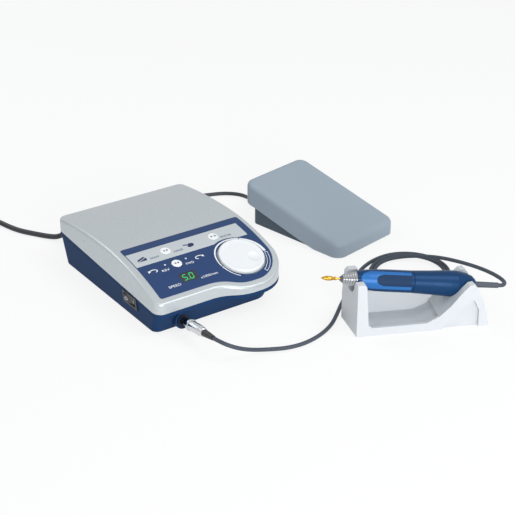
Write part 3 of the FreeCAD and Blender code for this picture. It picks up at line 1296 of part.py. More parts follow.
def cord_solid(name, points, dia):
    """Round tube along a cord's path, its volume compared with section times length."""
    points = [Vector(*point) if not isinstance(point, Vector) else point for point in points]
    path, radii = cord_path(points)
    aim = (points[1] - points[0]).normalize()
    section = Part.Wire([Part.makeCircle(dia / 2, points[0], aim)])
    solid = path.makePipeShell([section], True, False)
    if solid.Volume < 0:
        solid.reverse()
    share = solid.Volume / (math.pi * dia ** 2 / 4 * path.Length)
    runs = [(second - first).Length for first, second in zip(points, points[1:])]
    print("%s length %.1f, tightest %.1f (%.1f diameters), runs %.0f to %.0f, volume share %.4f" % (
        name, path.Length, min(radii), min(radii) / dia, min(runs), max(runs), share))
    print("  radii " + " ".join("%.0f" % radius for radius in radii))
    return solid


def ring_coil(dia, thick, centre):
    """Closed solid of a round coil, as wide as it is high, lying on the table."""
    outer = size(dia) / 2
    return Part.makeCylinder(outer, thick, centre).cut(Part.makeCylinder(outer - thick, thick, centre))


def add_solid(label, shape):
    feature = doc.addObject("Part::Feature", label)
    feature.Shape = shape
    return node(feature, label)


PLUG_END = socket_place(size("plug_nose_out + 3.2 + plug_shell_long + plug_boot_long")).Base
BOOT_END = REST.multVec(Vector(size("tail_to + boot_long"), 0, 0))
MOTOR_LAY = size("motor_cord_dia / 2")



def laid_from(start, steps):
    """Points counted in plan from a start; their heights are above the table."""
    return [Vector(start.x + across, start.y + along, up) for across, along, up in steps]


# Control points between the plug and the loose loops, then from the loops up to the handpiece
MOTOR_FRONT = laid_from(PLUG_END, [
    (0, -8.26, PLUG_END.z + 1.02), (5, -18.76, PLUG_END.z - 0.96), (17, -23.76, 14.5), (33.5, -24.26, 7.5),
]) + [
    (-2, -201.5, 3),
    (17, -209.5, MOTOR_LAY), (38, -212.5, MOTOR_LAY), (62, -208, MOTOR_LAY), (85, -197.5, MOTOR_LAY),
    (104.5, -182, MOTOR_LAY), (124, -164.5, MOTOR_LAY), (150, -144, MOTOR_LAY), (175, -122.5, MOTOR_LAY),
    (198, -106.5, MOTOR_LAY),
]
MOTOR_TAIL = [
    (245, -109.5, 3.2), (265, -124, 6), (278, -153, 12), (281, -189, 19), (279, -223, 26), (274.5, -250.5, 31.2),
    (270.4, -267, 33.4), (266.4, -275.7, 34.2), (261.4, -279, 34.6),
]
LOOP_CENTRE = (236, -148)
LOOP_RADIUS = 51.8
LOOP_PITCH = 4.8
LOOP_START = 105
LOOP_TURNS = 2


def loop_points(centre, radius, pitch, first_angle, turns, height):
    """Twelve points a turn, clockwise; every turn tightens by one pitch over its last third."""
    points = []
    for index in range(12 * turns + 1):
        share = index % 12 / 12
        ramp = max(0, (share - 0.7) / 0.3)
        reach = radius - pitch * (index // 12 + ramp ** 2 * (3 - 2 * ramp))
        angle = math.radians(first_angle - 30 * index)
        points.append((centre[0] + reach * math.cos(angle), centre[1] + reach * math.sin(angle), height))
    return points


MOTOR_LOOPS = loop_points(LOOP_CENTRE, LOOP_RADIUS, LOOP_PITCH, LOOP_START, LOOP_TURNS, MOTOR_LAY)
BOOT_AIM = REST.multVec(Vector(size("tail_to + boot_long") + 3.3, 0, 0))
motor_route = [PLUG_END] + MOTOR_FRONT + MOTOR_LOOPS + MOTOR_TAIL + [BOOT_AIM, BOOT_END]
add_solid("motor_cord", cord_solid("motor_cord", motor_route, size("motor_cord_dia")))

# Mains cord: from the gland to its coil, and from the coil to the plug
POWER_LAY = size("power_cord_dia / 2")
POWER_COIL_THICK = 3 * size("power_cord_dia")
GLAND_END = rear_place(GLAND_SIDE, str(REAR_WALL + size("gland_long"))).Base
POWER_ROUTE = laid_from(GLAND_END, [
    (0, 12.9, GLAND_END.z), (-3, 24.9, 17), (-10.5, 34.4, 10.5), (-20, 42.9, 5), (-30, 54.4, POWER_LAY),
    (-39.5, 71.9, POWER_LAY), (-45.5, 89.9, POWER_LAY), (-49.5, 108.4, POWER_LAY), (-56, 126.9, POWER_LAY),
    (-67.5, 146.9, POWER_LAY),
])
POWER_COIL = laid_from(GLAND_END, [(-111, 133.4, 0)])[0]
POWER_LEAD = laid_from(GLAND_END, [(-152.5, 114.9, POWER_LAY), (-145, 99.4, 4.8), (-141, 84.4, 8)])
MAINS_PLUG = laid_from(GLAND_END, [(-141, 68.4, 8)])[0]
add_solid("power_cord_coil", ring_coil("power_coil_dia", POWER_COIL_THICK, POWER_COIL))
add_solid("power_cord", Part.makeCompound([
    cord_solid("power_cord", [GLAND_END] + POWER_ROUTE, size("power_cord_dia")),
    cord_solid("power_cord lead", POWER_LEAD + [MAINS_PLUG], size("power_cord_dia")),
]))


def make_mains_plug():
    toward = Placement(MAINS_PLUG, Rotation(Vector(1, 0, 0), 90))
    boot = turned("plug_tail", [
        ("0", "0"), ("0", "power_cord_dia / 2 + 0.7"), ("20", "5.6"), ("24", "5.6"), ("24", "0"),
    ], "Z", toward)
    half = "(mains_pin_gap / 2 + 8.5)"
    face = "54"
    body = padded("plug_block", [
        ("-6", "20"), ("6", "20"), (half, "30"), (half, "52"), (half + " - 2", face), ("-" + half + " + 2", face),
        ("-" + half, "52"), ("-" + half, "30"),
    ], "%g" % (2 * MAINS_PLUG.z), place=Placement(MAINS_PLUG, Rotation(Vector(1, 0, 0), 180)), middle=True)
    pins = []
    sockets = []
    thin = "mains_pin_dia / 2 - 0.6"
    for label, side in (("left", -1), ("right", 1)):
        place = toward.multiply(at("%d * mains_pin_gap / 2" % side, 0, face))
        pins.append(turned(label + "_mains_pin", [
            ("-8", "0"), ("-8", thin), ("0", thin), ("0", "mains_pin_dia / 2"), ("mains_pin_long - 0.6", "mains_pin_dia / 2"),
            ("mains_pin_long", "mains_pin_dia / 2 - 0.6"), ("mains_pin_long", "0"),
        ], "Z", place))
        sockets.append(turned(label + "_pin_seat", [
            ("-8.1", "0"), ("-8.1", thin + " + 0.05"), ("1", thin + " + 0.05"), ("1", "0"),
        ], "Z", place))
    node(cut("power_plug_body", fuse("plug_moulding", [boot, body]), sockets), "power_plug_body")
    node(group("power_plug_pins", pins), "power_plug_pins")


make_mains_plug()

# Pedal cord: from the pedal to its coil behind the unit, and from the coil to its plug
PEDAL_LAY = size("pedal_cord_dia / 2")
PEDAL_COIL_THICK = 3 * size("pedal_cord_dia")
PEDAL_GLAND_END = PEDAL.multVec(Vector(size("pedal_gland_side"), 22, 12))
PEDAL_PLUG_END = rear_place("pedal_socket_side", str(REAR_WALL + size("pedal_plug_long"))).Base
PEDAL_COIL = laid_from(PEDAL_PLUG_END, [(64, 12.4, 0)])[0]
PEDAL_ROUTE = [
    PEDAL.multVec(Vector(size("pedal_gland_side"), 31, 12)), (192.5, 115, 8), (194.5, 127, 3.5),
    (194, 139, PEDAL_LAY), (186.5, 149.5, PEDAL_LAY), (174.5, 158.5, PEDAL_LAY), (158, 164.5, PEDAL_LAY),
] + laid_from(PEDAL_COIL, [
    (68, 17, PEDAL_LAY), (51, 24, PEDAL_LAY), (35, 29, PEDAL_LAY), (19, 31, PEDAL_LAY),
])
PEDAL_LEAD = laid_from(PEDAL_PLUG_END, [
    (58, 47.9, PEDAL_LAY), (44, 45.7, PEDAL_LAY), (28, 40.9, 2.8), (13, 32.9, 6), (3.5, 21.9, 13),
    (0, 10.9, PEDAL_PLUG_END.z),
])
add_solid("pedal_cord_coil", ring_coil("pedal_coil_dia", PEDAL_COIL_THICK, PEDAL_COIL))
add_solid("pedal_cord", Part.makeCompound([
    cord_solid("pedal_cord", [PEDAL_GLAND_END] + PEDAL_ROUTE, size("pedal_cord_dia")),
    cord_solid("pedal_cord lead", PEDAL_LEAD + [PEDAL_PLUG_END], size("pedal_cord_dia")),
]))


problems = []
doc.recompute()
for item in doc.Objects:
    if "Invalid" in item.State or "Error" in item.State:
        problems.append("%s is %s" % (item.Name, item.State))
os.makedirs("parts", exist_ok=True)
for label, item in NODES.items():
    shape = item.Shape
    if shape.isNull() or not shape.isValid() or not shape.Solids:
        problems.append("%s has a bad shape" % label)
        continue
    shape.exportStep("parts/%s.step" % label)
if problems:
    raise SystemExit("\n".join(problems))
print("%d nodes" % len(NODES))
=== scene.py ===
import math

import bpy
import numpy as np
from bpy.props import FloatProperty, FloatVectorProperty, PointerProperty
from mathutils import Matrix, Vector


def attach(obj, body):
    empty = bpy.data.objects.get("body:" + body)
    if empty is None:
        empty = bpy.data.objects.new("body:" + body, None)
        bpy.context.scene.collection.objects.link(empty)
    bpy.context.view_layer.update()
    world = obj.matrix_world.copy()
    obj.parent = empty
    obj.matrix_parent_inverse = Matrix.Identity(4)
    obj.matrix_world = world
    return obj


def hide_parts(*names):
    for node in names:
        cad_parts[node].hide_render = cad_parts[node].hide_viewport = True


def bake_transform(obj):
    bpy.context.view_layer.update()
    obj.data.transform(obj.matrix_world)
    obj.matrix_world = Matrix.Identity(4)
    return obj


bl_info = {
    "name": "Dental micromotor set",
    "version": (1, 0, 0),
    "blender": (4, 5, 0),
    "location": "3D View > Sidebar > Micromotor",
    "description": "Dresses the micromotor's control unit, pedal, handpiece, stand and cords",
    "category": "Object",
}

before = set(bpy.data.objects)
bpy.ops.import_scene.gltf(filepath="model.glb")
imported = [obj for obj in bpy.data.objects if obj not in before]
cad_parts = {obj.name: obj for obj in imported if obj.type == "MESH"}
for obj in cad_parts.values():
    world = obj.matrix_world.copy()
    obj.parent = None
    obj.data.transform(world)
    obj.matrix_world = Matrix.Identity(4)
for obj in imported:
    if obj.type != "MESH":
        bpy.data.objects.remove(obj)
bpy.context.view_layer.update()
MM = 0.001


def shade(code):
    """Linear colour of a six-digit sRGB code."""
    parts = [int(code[index:index + 2], 16) / 255 for index in (0, 2, 4)]
    return tuple(c / 12.92 if c <= 0.04045 else ((c + 0.055) / 1.055) ** 2.4 for c in parts)


def size_value(name, about, default):
    return FloatProperty(name=name, description=about, default=default, min=0.0, max=1.0,
                         unit="LENGTH", subtype="DISTANCE", precision=5)


def colour_value(name, about, code):
    return FloatVectorProperty(name=name, description=about, default=shade(code), size=3,
                               min=0.0, max=1.0, subtype="COLOR")


class MicromotorSizes(bpy.types.PropertyGroup):
    motor_cord: size_value("Motor cord", "Diameter of the motor cord", 0.0045)
    power_cord: size_value("Mains cord", "Diameter of the mains cord", 0.0065)
    pedal_cord: size_value("Pedal cord", "Diameter of the pedal cord", 0.005)
    print_rise: size_value("Print", "Height of the printed marks above the panel sheet", 0.00008)
    mark_rise: size_value("Marks", "Height of the marks on keys, rocker and window", 0.00006)
    small_words: size_value("Words", "Height of the capital letters on the panel", 0.0031)


class MicromotorColours(bpy.types.PropertyGroup):
    housing: colour_value("Housing", "Navy plastic of the lower housing", "223C60")
    cover: colour_value("Cover", "Silver paint of the top cover", "C3CACD")
    panel: colour_value("Panel", "Navy print of the panel sheet", "2F4670")
    knob: colour_value("Knob", "Pearl paint of the speed knob", "F1F4F6")
    barrel: colour_value("Barrel", "Navy paint of the handpiece", "153D67")
    accent: colour_value("Accent", "Bright blue inlay of the handpiece", "2C6CB2")
    pad: colour_value("Pad", "Rubber pad of the handpiece", "16375E")
    stand: colour_value("Stand", "White plastic of the stand", "CDD1D4")
    pedal: colour_value("Pedal", "Blue-grey plastic of the pedal's cover", "9AA8B3")
    pedal_base: colour_value("Pedal base", "Darker plastic of the pedal's base", "4A5762")
    cord: colour_value("Cord", "Grey sheath of the motor cord", "4A515C")
    floor: colour_value("Floor", "Pale floor under the set", "F4F4F4")


# Shader expressions

class Number:
    """A value of a shader expression. Its operators add the Math nodes that work them out."""

    def __init__(self, graph, socket):
        self.graph = graph
        self.socket = socket

    def math(self, operation, *others):
        values = {index + 1: other for index, other in enumerate(others)}
        return self.graph.node("ShaderNodeMath", {"operation": operation}, {0: self, **values})

    def __add__(self, other):
        return self.math("ADD", other)

    def __mul__(self, other):
        return self.math("MULTIPLY", other)


class Graph:
    """A node tree, and one way to add every node to it."""

    def __init__(self, tree):
        self.tree = tree

    def node(self, kind, settings=None, values=None, output=0):
        """Adds a node: its settings first, then its sockets' values or links. Gives one of its outputs."""
        made = self.tree.nodes.new(kind)
        for label, value in (settings or {}).items():
            if label == "stops":
                self.set_stops(made.color_ramp, value)
            else:
                setattr(made, label, value)
        for label, value in (values or {}).items():
            if isinstance(value, Number):
                self.tree.links.new(value.socket, made.inputs[label])
            else:
                made.inputs[label].default_value = value
        return Number(self, made.outputs[output])

    def set_stops(self, ramp, stops):
        while len(ramp.elements) < len(stops):
            ramp.elements.new(0.5)
        for element, (place, value) in zip(ramp.elements, stops):
            element.position = place
            element.color = (value, value, value, 1.0)

    def send(self, value, name, label):
        """Links a value into a node that the tree came with."""
        self.tree.links.new(value.socket, self.tree.nodes[name].inputs[label])

    def seen_share(self, share):
        """The share for camera, glossy and transmission rays, and 0 for the rest."""
        camera, glossy, passing = (self.node("ShaderNodeLightPath", output=ray) for ray in
                                   ("Is Camera Ray", "Is Glossy Ray", "Is Transmission Ray"))
        return camera.math("MAXIMUM", glossy).math("MAXIMUM", passing) * share


class Finish(Graph):
    """A procedural material round a Principled shader."""

    def __init__(self, name, **constants):
        self.material = bpy.data.materials.new(name)
        self.material.use_nodes = True
        super().__init__(self.material.node_tree)
        self.shader = self.tree.nodes["Principled BSDF"]
        for label, value in constants.items():
            self.shader.inputs[label.replace("_", " ")].default_value = value

    def feed(self, label, value):
        self.tree.links.new(value.socket, self.shader.inputs[label])

    def tone(self, colour, share, pattern):
        """Colour that falls to a share of itself where the pattern is low."""
        self.feed("Base Color", self.blend(darker(colour, share), colour, pattern))

    def gloss(self, rough, spread, pattern):
        """Roughness that wanders with the pattern, by half the spread to each side."""
        self.feed("Roughness", pattern * spread + (rough - spread / 2))

    def places(self):
        """Object coordinates."""
        return self.node("ShaderNodeTexCoord", output="Object")

    def noise(self, scale, detail=2.0, stretch=None):
        """Soft noise from 0 to 1 over Object coordinates, scale waves a metre."""
        where = self.places()
        if stretch:
            where = self.node("ShaderNodeMapping", {}, {"Vector": where, "Scale": stretch})
        return self.node("ShaderNodeTexNoise", {}, {"Vector": where, "Scale": scale, "Detail": detail})

    def blend(self, first, second, factor):
        """Colour between two colours."""
        return self.node("ShaderNodeMix", {"data_type": "RGBA"},
                         {0: factor, 6: (*first, 1.0), 7: (*second, 1.0)}, output=2)

    def relief(self, height, depth, strength):
        """Normal of a fine relief, depth metres from its lowest to its highest."""
        return self.node("ShaderNodeBump", {}, {"Strength": strength, "Distance": depth, "Height": height})


# Waves a metre of each fine pattern, and its depth in metres
FLECKS = 2600.0
PEEL = 700.0
PEEL_DEEP = 0.00001
TOOL_MARKS = 2200.0
TOOL_MARKS_DEEP = 0.000004
DUST = 60.0
MATT_GRAIN = 1800.0
MATT_GRAIN_DEEP = 0.000015
MATT_GLOSS = 1500.0
RIB_DEEP = 0.0001
HALFTONE = 1600.0
PRINT_GLOSS = 900.0
DRIFT = 14.0
GLOW_PATCHES = 700.0
GLASS_DRIFT = 120.0
GLASS_GLOSS = 500.0
# Ramp that leaves only the brighter part of the noise as flecks: place, value
FLECK_STOPS = [(0.42, 0.0), (0.68, 1.0)]
PLASTIC_IOR = 1.5
RUBBER_IOR = 1.48
GLASS_IOR = 1.52


def darker(colour, share):
    return tuple(c * share for c in colour)


def moulded(name, colour, rough, grain, depth=0.00002, tint=0.93, **constants):
    """Moulded plastic: slow drift of tone, a fine spark-eroded grain and uneven gloss."""
    made = Finish(name, IOR=PLASTIC_IOR, **constants)
    pebble = made.node("ShaderNodeTexVoronoi", {"feature": "SMOOTH_F1"},
                       {"Vector": made.places(), "Scale": grain, "Smoothness": 0.6})
    made.feed("Base Color", made.blend(colour, darker(colour, tint), made.noise(DRIFT, 3.0)))
    made.gloss(rough, 0.1, made.noise(grain * 0.35, 2.0))
    made.feed("Normal", made.relief(pebble, depth, 0.5))
    return made.material


def painted(name, colour, rough, metal, **constants):
    """Sprayed paint: bright flecks and a faint orange-peel relief."""
    made = Finish(name, IOR=PLASTIC_IOR, Metallic=metal, **constants)
    flecks = made.node("ShaderNodeValToRGB", {"stops": FLECK_STOPS}, {"Fac": made.noise(FLECKS, 1.0)})
    made.tone(colour, 0.9, flecks)
    made.gloss(rough, 0.12, made.noise(FLECKS * 0.2, 1.0))
    made.feed("Normal", made.relief(made.noise(PEEL, 2.0), PEEL_DEEP, 0.4))
    return made.material


def metal_finish(name, colour, rough, stretch=(1.0, 1.0, 1.0), scale=TOOL_MARKS, streak=0.12):
    """Machined metal: fine tool marks in gloss and relief."""
    made = Finish(name, Metallic=1.0)
    marks = made.noise(scale, 2.0, stretch)
    made.tone(colour, 0.86, marks)
    made.gloss(rough, streak, marks)
    made.feed("Normal", made.relief(marks, TOOL_MARKS_DEEP, 0.5))
    return made.material


def ribbed(name, colour, way, pitch):
    """Rubber with fine ribs, one a pitch along the direction way: a sine wave over Object coordinates, which
    also paints shade into the grooves between the ribs.
    """
    made = Finish(name, IOR=RUBBER_IOR, Specular_IOR_Level=0.2)
    along = made.node("ShaderNodeVectorMath", {"operation": "DOT_PRODUCT"}, {0: made.places(), 1: way},
                      output="Value")
    ribs = (along * (2 * math.pi / pitch)).math("SINE") * 0.5 + 0.5
    # Painted shade: the colour falls to 0.6 of itself where the ribs are lowest, in the grooves between them.
    made.tone(colour, 0.6, ribs)
    made.gloss(0.5, 0.14, made.noise(MATT_GLOSS, 2.0))
    made.feed("Normal", made.relief(ribs, RIB_DEEP, 0.6))
    return made.material


def rubbery(name, colour, rough, **constants):
    """Matt rubber or cord sheath: dusty drift of tone and a soft matt grain."""
    made = Finish(name, IOR=RUBBER_IOR, **constants)
    made.tone(colour, 0.85, made.noise(DUST, 4.0))
    made.gloss(rough, 0.14, made.noise(MATT_GLOSS, 2.0))
    made.feed("Normal", made.relief(made.noise(MATT_GRAIN, 2.0), MATT_GRAIN_DEEP, 0.5))
    return made.material


def printed(name, colour, rough, **constants):
    """Screen print: a fine halftone unevenness in tone and gloss."""
    made = Finish(name, IOR=PLASTIC_IOR, **constants)
    made.tone(colour, 0.93, made.noise(HALFTONE, 2.0))
    made.gloss(rough, 0.1, made.noise(PRINT_GLOSS, 2.0))
    return made.material


def lit(name, colour, glow):
    """Lit segment or lamp: an uneven glow over a dimmer body colour."""
    made = Finish(name, Roughness=0.3, Emission_Strength=glow)
    patches = made.noise(GLOW_PATCHES, 1.0)
    made.feed("Emission Color", made.blend(darker(colour, 0.75), colour, patches))
    made.feed("Base Color", made.blend(darker(colour, 0.5), darker(colour, 0.7), patches))
    return made.material


def glazed(name, colour, rough):
    """Smoked window: deep colour, high gloss, with the faintest unevenness."""
    made = Finish(name, IOR=GLASS_IOR, Coat_Weight=0.6, Coat_Roughness=0.03)
    made.feed("Base Color", made.blend(colour, darker(colour, 0.7), made.noise(GLASS_DRIFT, 2.0)))
    made.feed("Roughness", made.noise(GLASS_GLOSS, 2.0) * 0.05 + rough)
    return made.material


# Meshes from whole arrays

def add_mesh(name, points, faces, finish, smooth=True):
    """Mesh object at the origin from an array of points and an array or list of faces."""
    mesh = bpy.data.meshes.new(name)
    mesh.from_pydata(np.asarray(points, float).reshape(-1, 3).tolist(), [],
                     faces.tolist() if isinstance(faces, np.ndarray) else faces)
    mesh.materials.append(finish)
    mesh.polygons.foreach_set("use_smooth", np.full(len(mesh.polygons), smooth))
    mesh.update()
    made = bpy.data.objects.new(name, mesh)
    bpy.context.scene.collection.objects.link(made)
    return made


def grid_faces(rows, columns, wrap=False):
    """Four-cornered faces of a grid of rows by columns points; wrap joins the last column to the first."""
    across = np.arange(columns if wrap else columns - 1)
    along = np.arange(rows - 1)[:, None] * columns
    right = (across + 1) % columns
    return np.stack([along + across, along + right, along + columns + right, along + columns + across],
                    axis=-1).reshape(-1, 4)


def slab(top, bottom, name, finish):
    """Closed thin slab between two grids of the same shape: both faces and a wall round their edge."""
    rows, columns = top.shape[:2]
    count = rows * columns
    upper = grid_faces(rows, columns)
    index = np.arange(count).reshape(rows, columns)
    rim = np.concatenate([index[0, :-1], index[:-1, -1], index[-1, :0:-1], index[:0:-1, 0]])
    after = np.roll(rim, -1)
    wall = np.stack([rim, rim + count, after + count, after], axis=-1)
    return add_mesh(name, np.concatenate([top.reshape(-1, 3), bottom.reshape(-1, 3)]),
                    np.concatenate([upper, upper[:, ::-1] + count, wall]), finish, smooth=False)


def tube(path, radius, sides, name, finish):
    """Round tube: at each path point a circle square to the path, whose first direction is level, so the
    circles of a path that is never upright don't twist. One many-sided face closes each end."""
    path = np.asarray(path, float)
    aim = np.gradient(path, axis=0)
    aim /= np.linalg.norm(aim, axis=1)[:, None]
    side = np.cross(aim, np.array([0.0, 0.0, 1.0]))
    side /= np.linalg.norm(side, axis=1)[:, None]
    lift = np.cross(side, aim)
    turn = np.linspace(0, 2 * np.pi, sides, endpoint=False)
    circle = np.cos(turn)[None, :, None] * side[:, None] + np.sin(turn)[None, :, None] * lift[:, None]
    points = (path[:, None] + radius * circle).reshape(-1, 3)
    faces = grid_faces(len(path), sides, wrap=True)[:, ::-1].tolist()
    first, last = list(range(sides)), list(range(len(points) - sides, len(points)))
    return add_mesh(name, points, faces + [first, last[::-1]], finish)


def joined(name, pieces):
    """One object from several meshes that share a finish."""
    bpy.ops.object.select_all(action="DESELECT")
    for piece in pieces:
        piece.select_set(True)
    bpy.context.view_layer.objects.active = pieces[0]
    if len(pieces) > 1:
        bpy.ops.object.join()
    pieces[0].name = name
    pieces[0].data.name = name
    return pieces[0]


# Camera, lamps and floor

CAMERA_PLACE = (-0.73627, -1.24529, 0.77461)
CAMERA_DOWN = 27.4
CAMERA_TURN = -34.6
FOCAL_PIXELS = 1400.0
FRAME_PIXELS = 515.0
SENSOR = 36.0
LAMP_TARGET = (0.05, -0.03, 0.0)
LAMPS = (
    ("key_lamp", (0.6, -0.9, 1.5), 0.9, 8.0),
    ("fill_lamp", (-0.42, -1.76, 0.5), 0.9, 19.0),
    ("rim_lamp", (-0.6, 1.2, 1.3), 1.0, 5.0),
)
SKY_COLOUR = (0.93, 0.96, 1.0, 1.0)
SKY_STRENGTH = 0.56
FLOOR_REACH = 3.0
FLOOR_DROP = 0.0002
FLOOR_GLOW = 0.82


def add_lamp(name, place, width, power):
    """Round area lamp aimed at the middle of the set."""
    light = bpy.data.lights.new(name, "AREA")
    light.shape = "DISK"
    light.size = width
    light.energy = power
    lamp = bpy.data.objects.new(name, light)
    lamp.location = place
    aim = Vector(LAMP_TARGET) - lamp.location
    lamp.rotation_euler = aim.to_track_quat("-Z", "Y").to_euler()
    bpy.context.scene.collection.objects.link(lamp)


class MICROMOTOR_OT_stage(bpy.types.Operator):
    """Camera at the photograph's place, soft lamps, white surroundings and a pale floor"""
    bl_idname = "micromotor.stage"
    bl_label = "Stage"

    def execute(self, context):
        scene = context.scene
        data = bpy.data.cameras.new("camera")
        data.sensor_width = SENSOR
        data.lens = FOCAL_PIXELS / FRAME_PIXELS * SENSOR
        camera = bpy.data.objects.new("camera", data)
        camera.location = CAMERA_PLACE
        camera.rotation_euler = (math.radians(90 - CAMERA_DOWN), 0, math.radians(CAMERA_TURN))
        scene.collection.objects.link(camera)
        scene.camera = camera
        scene.view_settings.view_transform = "Standard"

        world = bpy.data.worlds.new("surroundings")
        world.use_nodes = True
        scene.world = world
        sky = Graph(world.node_tree)
        sky.tree.nodes.remove(sky.tree.nodes["Background"])
        soft = sky.node("ShaderNodeBackground", {}, {"Color": SKY_COLOUR, "Strength": SKY_STRENGTH})
        white = sky.node("ShaderNodeBackground")
        mixed = sky.node("ShaderNodeMixShader", {}, {0: sky.seen_share(1.0), 1: soft, 2: white})
        sky.send(mixed, "World Output", "Surface")

        for lamp in LAMPS:
            add_lamp(*lamp)

        reach = np.linspace(-FLOOR_REACH, FLOOR_REACH, 9)
        x, y = np.meshgrid(reach, reach)
        points = np.stack([x, y, np.full_like(x, -FLOOR_DROP)], axis=-1)
        finish = Finish("floor_white", Roughness=0.9)
        colour = scene.micromotor_colours.floor
        finish.feed("Base Color", finish.blend(colour, darker(colour, 0.985), finish.noise(3.0, 2.0)))
        glow = finish.node("ShaderNodeEmission")
        lit_floor = Number(finish, finish.shader.outputs[0])
        seen = finish.seen_share(FLOOR_GLOW)
        mixed = finish.node("ShaderNodeMixShader", {}, {0: seen, 1: lit_floor, 2: glow})
        finish.send(mixed, "Material Output", "Surface")
        add_mesh("floor", points, grid_faces(9, 9), finish.material)
        return {"FINISHED"}


# Cords: routes in millimetres, which follow the solid cords to within a few of them

MOTOR_LAY = 2.25
PLUG_END = (-54.0, -174.74, 21.46)
MOTOR_FRONT = [
    (-54, -183, 22.48), (-49, -193.5, 20.5), (-37, -198.5, 14.5), (-20.5, -199, 7.5), (-2, -201.5, 3),
    (17, -209.5, MOTOR_LAY), (38, -212.5, MOTOR_LAY), (62, -208, MOTOR_LAY), (85, -197.5, MOTOR_LAY),
    (104.5, -182, MOTOR_LAY), (124, -165, MOTOR_LAY), (150, -145.5, MOTOR_LAY), (174.5, -125.5, MOTOR_LAY),
    (197.3, -110.5, MOTOR_LAY),
]
MOTOR_TAIL = [
    (243, -113, 3.2), (263, -127.5, 6), (276.8, -155.5, 12), (280.6, -190.5, 19), (279, -223.5, 26),
    (274.5, -250.5, 31.2), (270.4, -267, 33.4), (266.4, -275.7, 34.2), (261.4, -279, 34.6),
]
MOTOR_LOOPS = {"centre": (234.7, -149.9), "radius": 49.4, "pitch": 4.8, "first_angle": 105, "turns": 2}
MOTOR_SIDES = 20
NOSE = (90.547, -202.877, 60.8)
BARREL_AXIS = (0.901106, -0.410657, -0.139173)
BOOT_END_AT = 182.0
BOOT_AIM_AT = 185.3
POWER_LAY = 3.25
POWER_ROUTE = [
    (-54, 134.6, 20), (-54.5, 144, 18.8), (-58.5, 152.5, 12.2), (-64, 160.5, 5.4), (-71.5, 172.5, POWER_LAY),
    (-84, 191.5, POWER_LAY), (-93.5, 207, POWER_LAY), (-99.5, 224.5, POWER_LAY), (-103.5, 243, POWER_LAY),
    (-110, 261.5, POWER_LAY),
]
POWER_COIL = (-165, 268)
POWER_START = 17.2
POWER_OUTER = 45.5
POWER_THICK = 6.5
POWER_TAIL = [
    (2300.0, 29.25, 3.25), (2520.0, 29.25, 23.0), (2632.0, 29.25, 23.2), (2680.0, 44.6, 22.6),
    (2700.0, 47.6, 17.5), (2722.5, 48.6, 8.5),
]
POWER_LEAD = [(-199, 234, 4.8), (-195, 219, 8), (-195, 203, 8)]
PEDAL_LAY = 2.5
PEDAL_EXIT = (194.771, 95.432, 12.0)
PEDAL_ROUTE = [
    (192.976, 104.251, 12), (192.5, 115, 8), (194.5, 127, 3.5), (194, 139, PEDAL_LAY),
    (186.5, 149.5, PEDAL_LAY), (174.5, 158.5, PEDAL_LAY), (158, 164.5, PEDAL_LAY), (140, 170, PEDAL_LAY),
    (123, 177, PEDAL_LAY), (107, 182, PEDAL_LAY),
]
PEDAL_COIL = (72, 153)
PEDAL_START = 58.5
PEDAL_OUTER = 36.0
PEDAL_THICK = 5.0
PEDAL_TAIL = [
    (2520.0, 23.5, 7.5), (2640.0, 23.5, 7.5), (2760.0, 23.5, 17.8), (2840.0, 39.0, 17.8),
    (2921.0, 39.0, 2.5),
]
PEDAL_LEAD = [
    (52, 186.3, 2.5), (36, 181.5, 2.8), (21, 173.5, 6), (11.5, 162.5, 13), (8, 151.5, 20), (8, 140.6, 20),
]
# Cells of a wound coil in their order, as (ring, layer)
WOUND_CELLS = [(0, 0), (0, 1), (0, 2), (1, 2), (1, 1), (1, 0), (2, 0)]
POINTS_A_TURN = 12
SPLINE_STEPS = 8
BEVEL_STEPS = 5


def along_barrel(distance):
    return tuple(np.array(NOSE) + distance * np.array(BARREL_AXIS))


# Share of each loose loop over which its radius shrinks
LOOP_SLIDE = 0.3


def loop_points(centre, radius, pitch, first_angle, turns, height):
    """Loose loops, clockwise: the radius shrinks by one pitch at the end of each turn, along the smooth step
    3 r^2 - 2 r^3."""
    index = np.arange(POINTS_A_TURN * turns + 1)
    ramp = np.clip((index % POINTS_A_TURN / POINTS_A_TURN - (1 - LOOP_SLIDE)) / LOOP_SLIDE, 0, None)
    reach = radius - pitch * (index // POINTS_A_TURN + ramp ** 2 * (3 - 2 * ramp))
    angle = np.radians(first_angle - 360 / POINTS_A_TURN * index)
    return np.stack([centre[0] + reach * np.cos(angle), centre[1] + reach * np.sin(angle),
                     np.full(len(index), height)], axis=-1).tolist()


def coil_points(centre, first_angle, knots, step=22.5):
    """Wound coil: an angle that grows by one step a point, with radius and height read between knots
    of (angle, radius, height). Radii grow by the amount that the spline cuts inside its points."""
    turn, radius, height = np.array(knots, float).T
    angle = np.arange(0.0, turn[-1] + 1e-6, step)
    reach = np.interp(angle, turn, radius) / math.cos(math.radians(step / 2))
    where = np.radians(first_angle + angle)
    return np.stack([centre[0] + reach * np.cos(where), centre[1] + reach * np.sin(where),
                     np.interp(angle, turn, height)], axis=-1).tolist()


# Angles at which a wound coil reaches its first cell and at which each turn leaves its cell
FIRST_CELL = 40.0
CELL_END = 288.0


def wound(outer, thick, tail):
    """Knots of a wound coil: one turn a cell, each stepping to the next over its last fifth, then the
    tail's own knots."""
    knots = [(0.0, outer, thick / 2)]
    for count, (ring, layer) in enumerate(WOUND_CELLS):
        place = (outer - thick * (ring + 0.5), thick * (layer + 0.5))
        turned = 360.0 * count
        knots += [(turned if count else FIRST_CELL, *place), (turned + CELL_END, *place)]
    return knots + tail


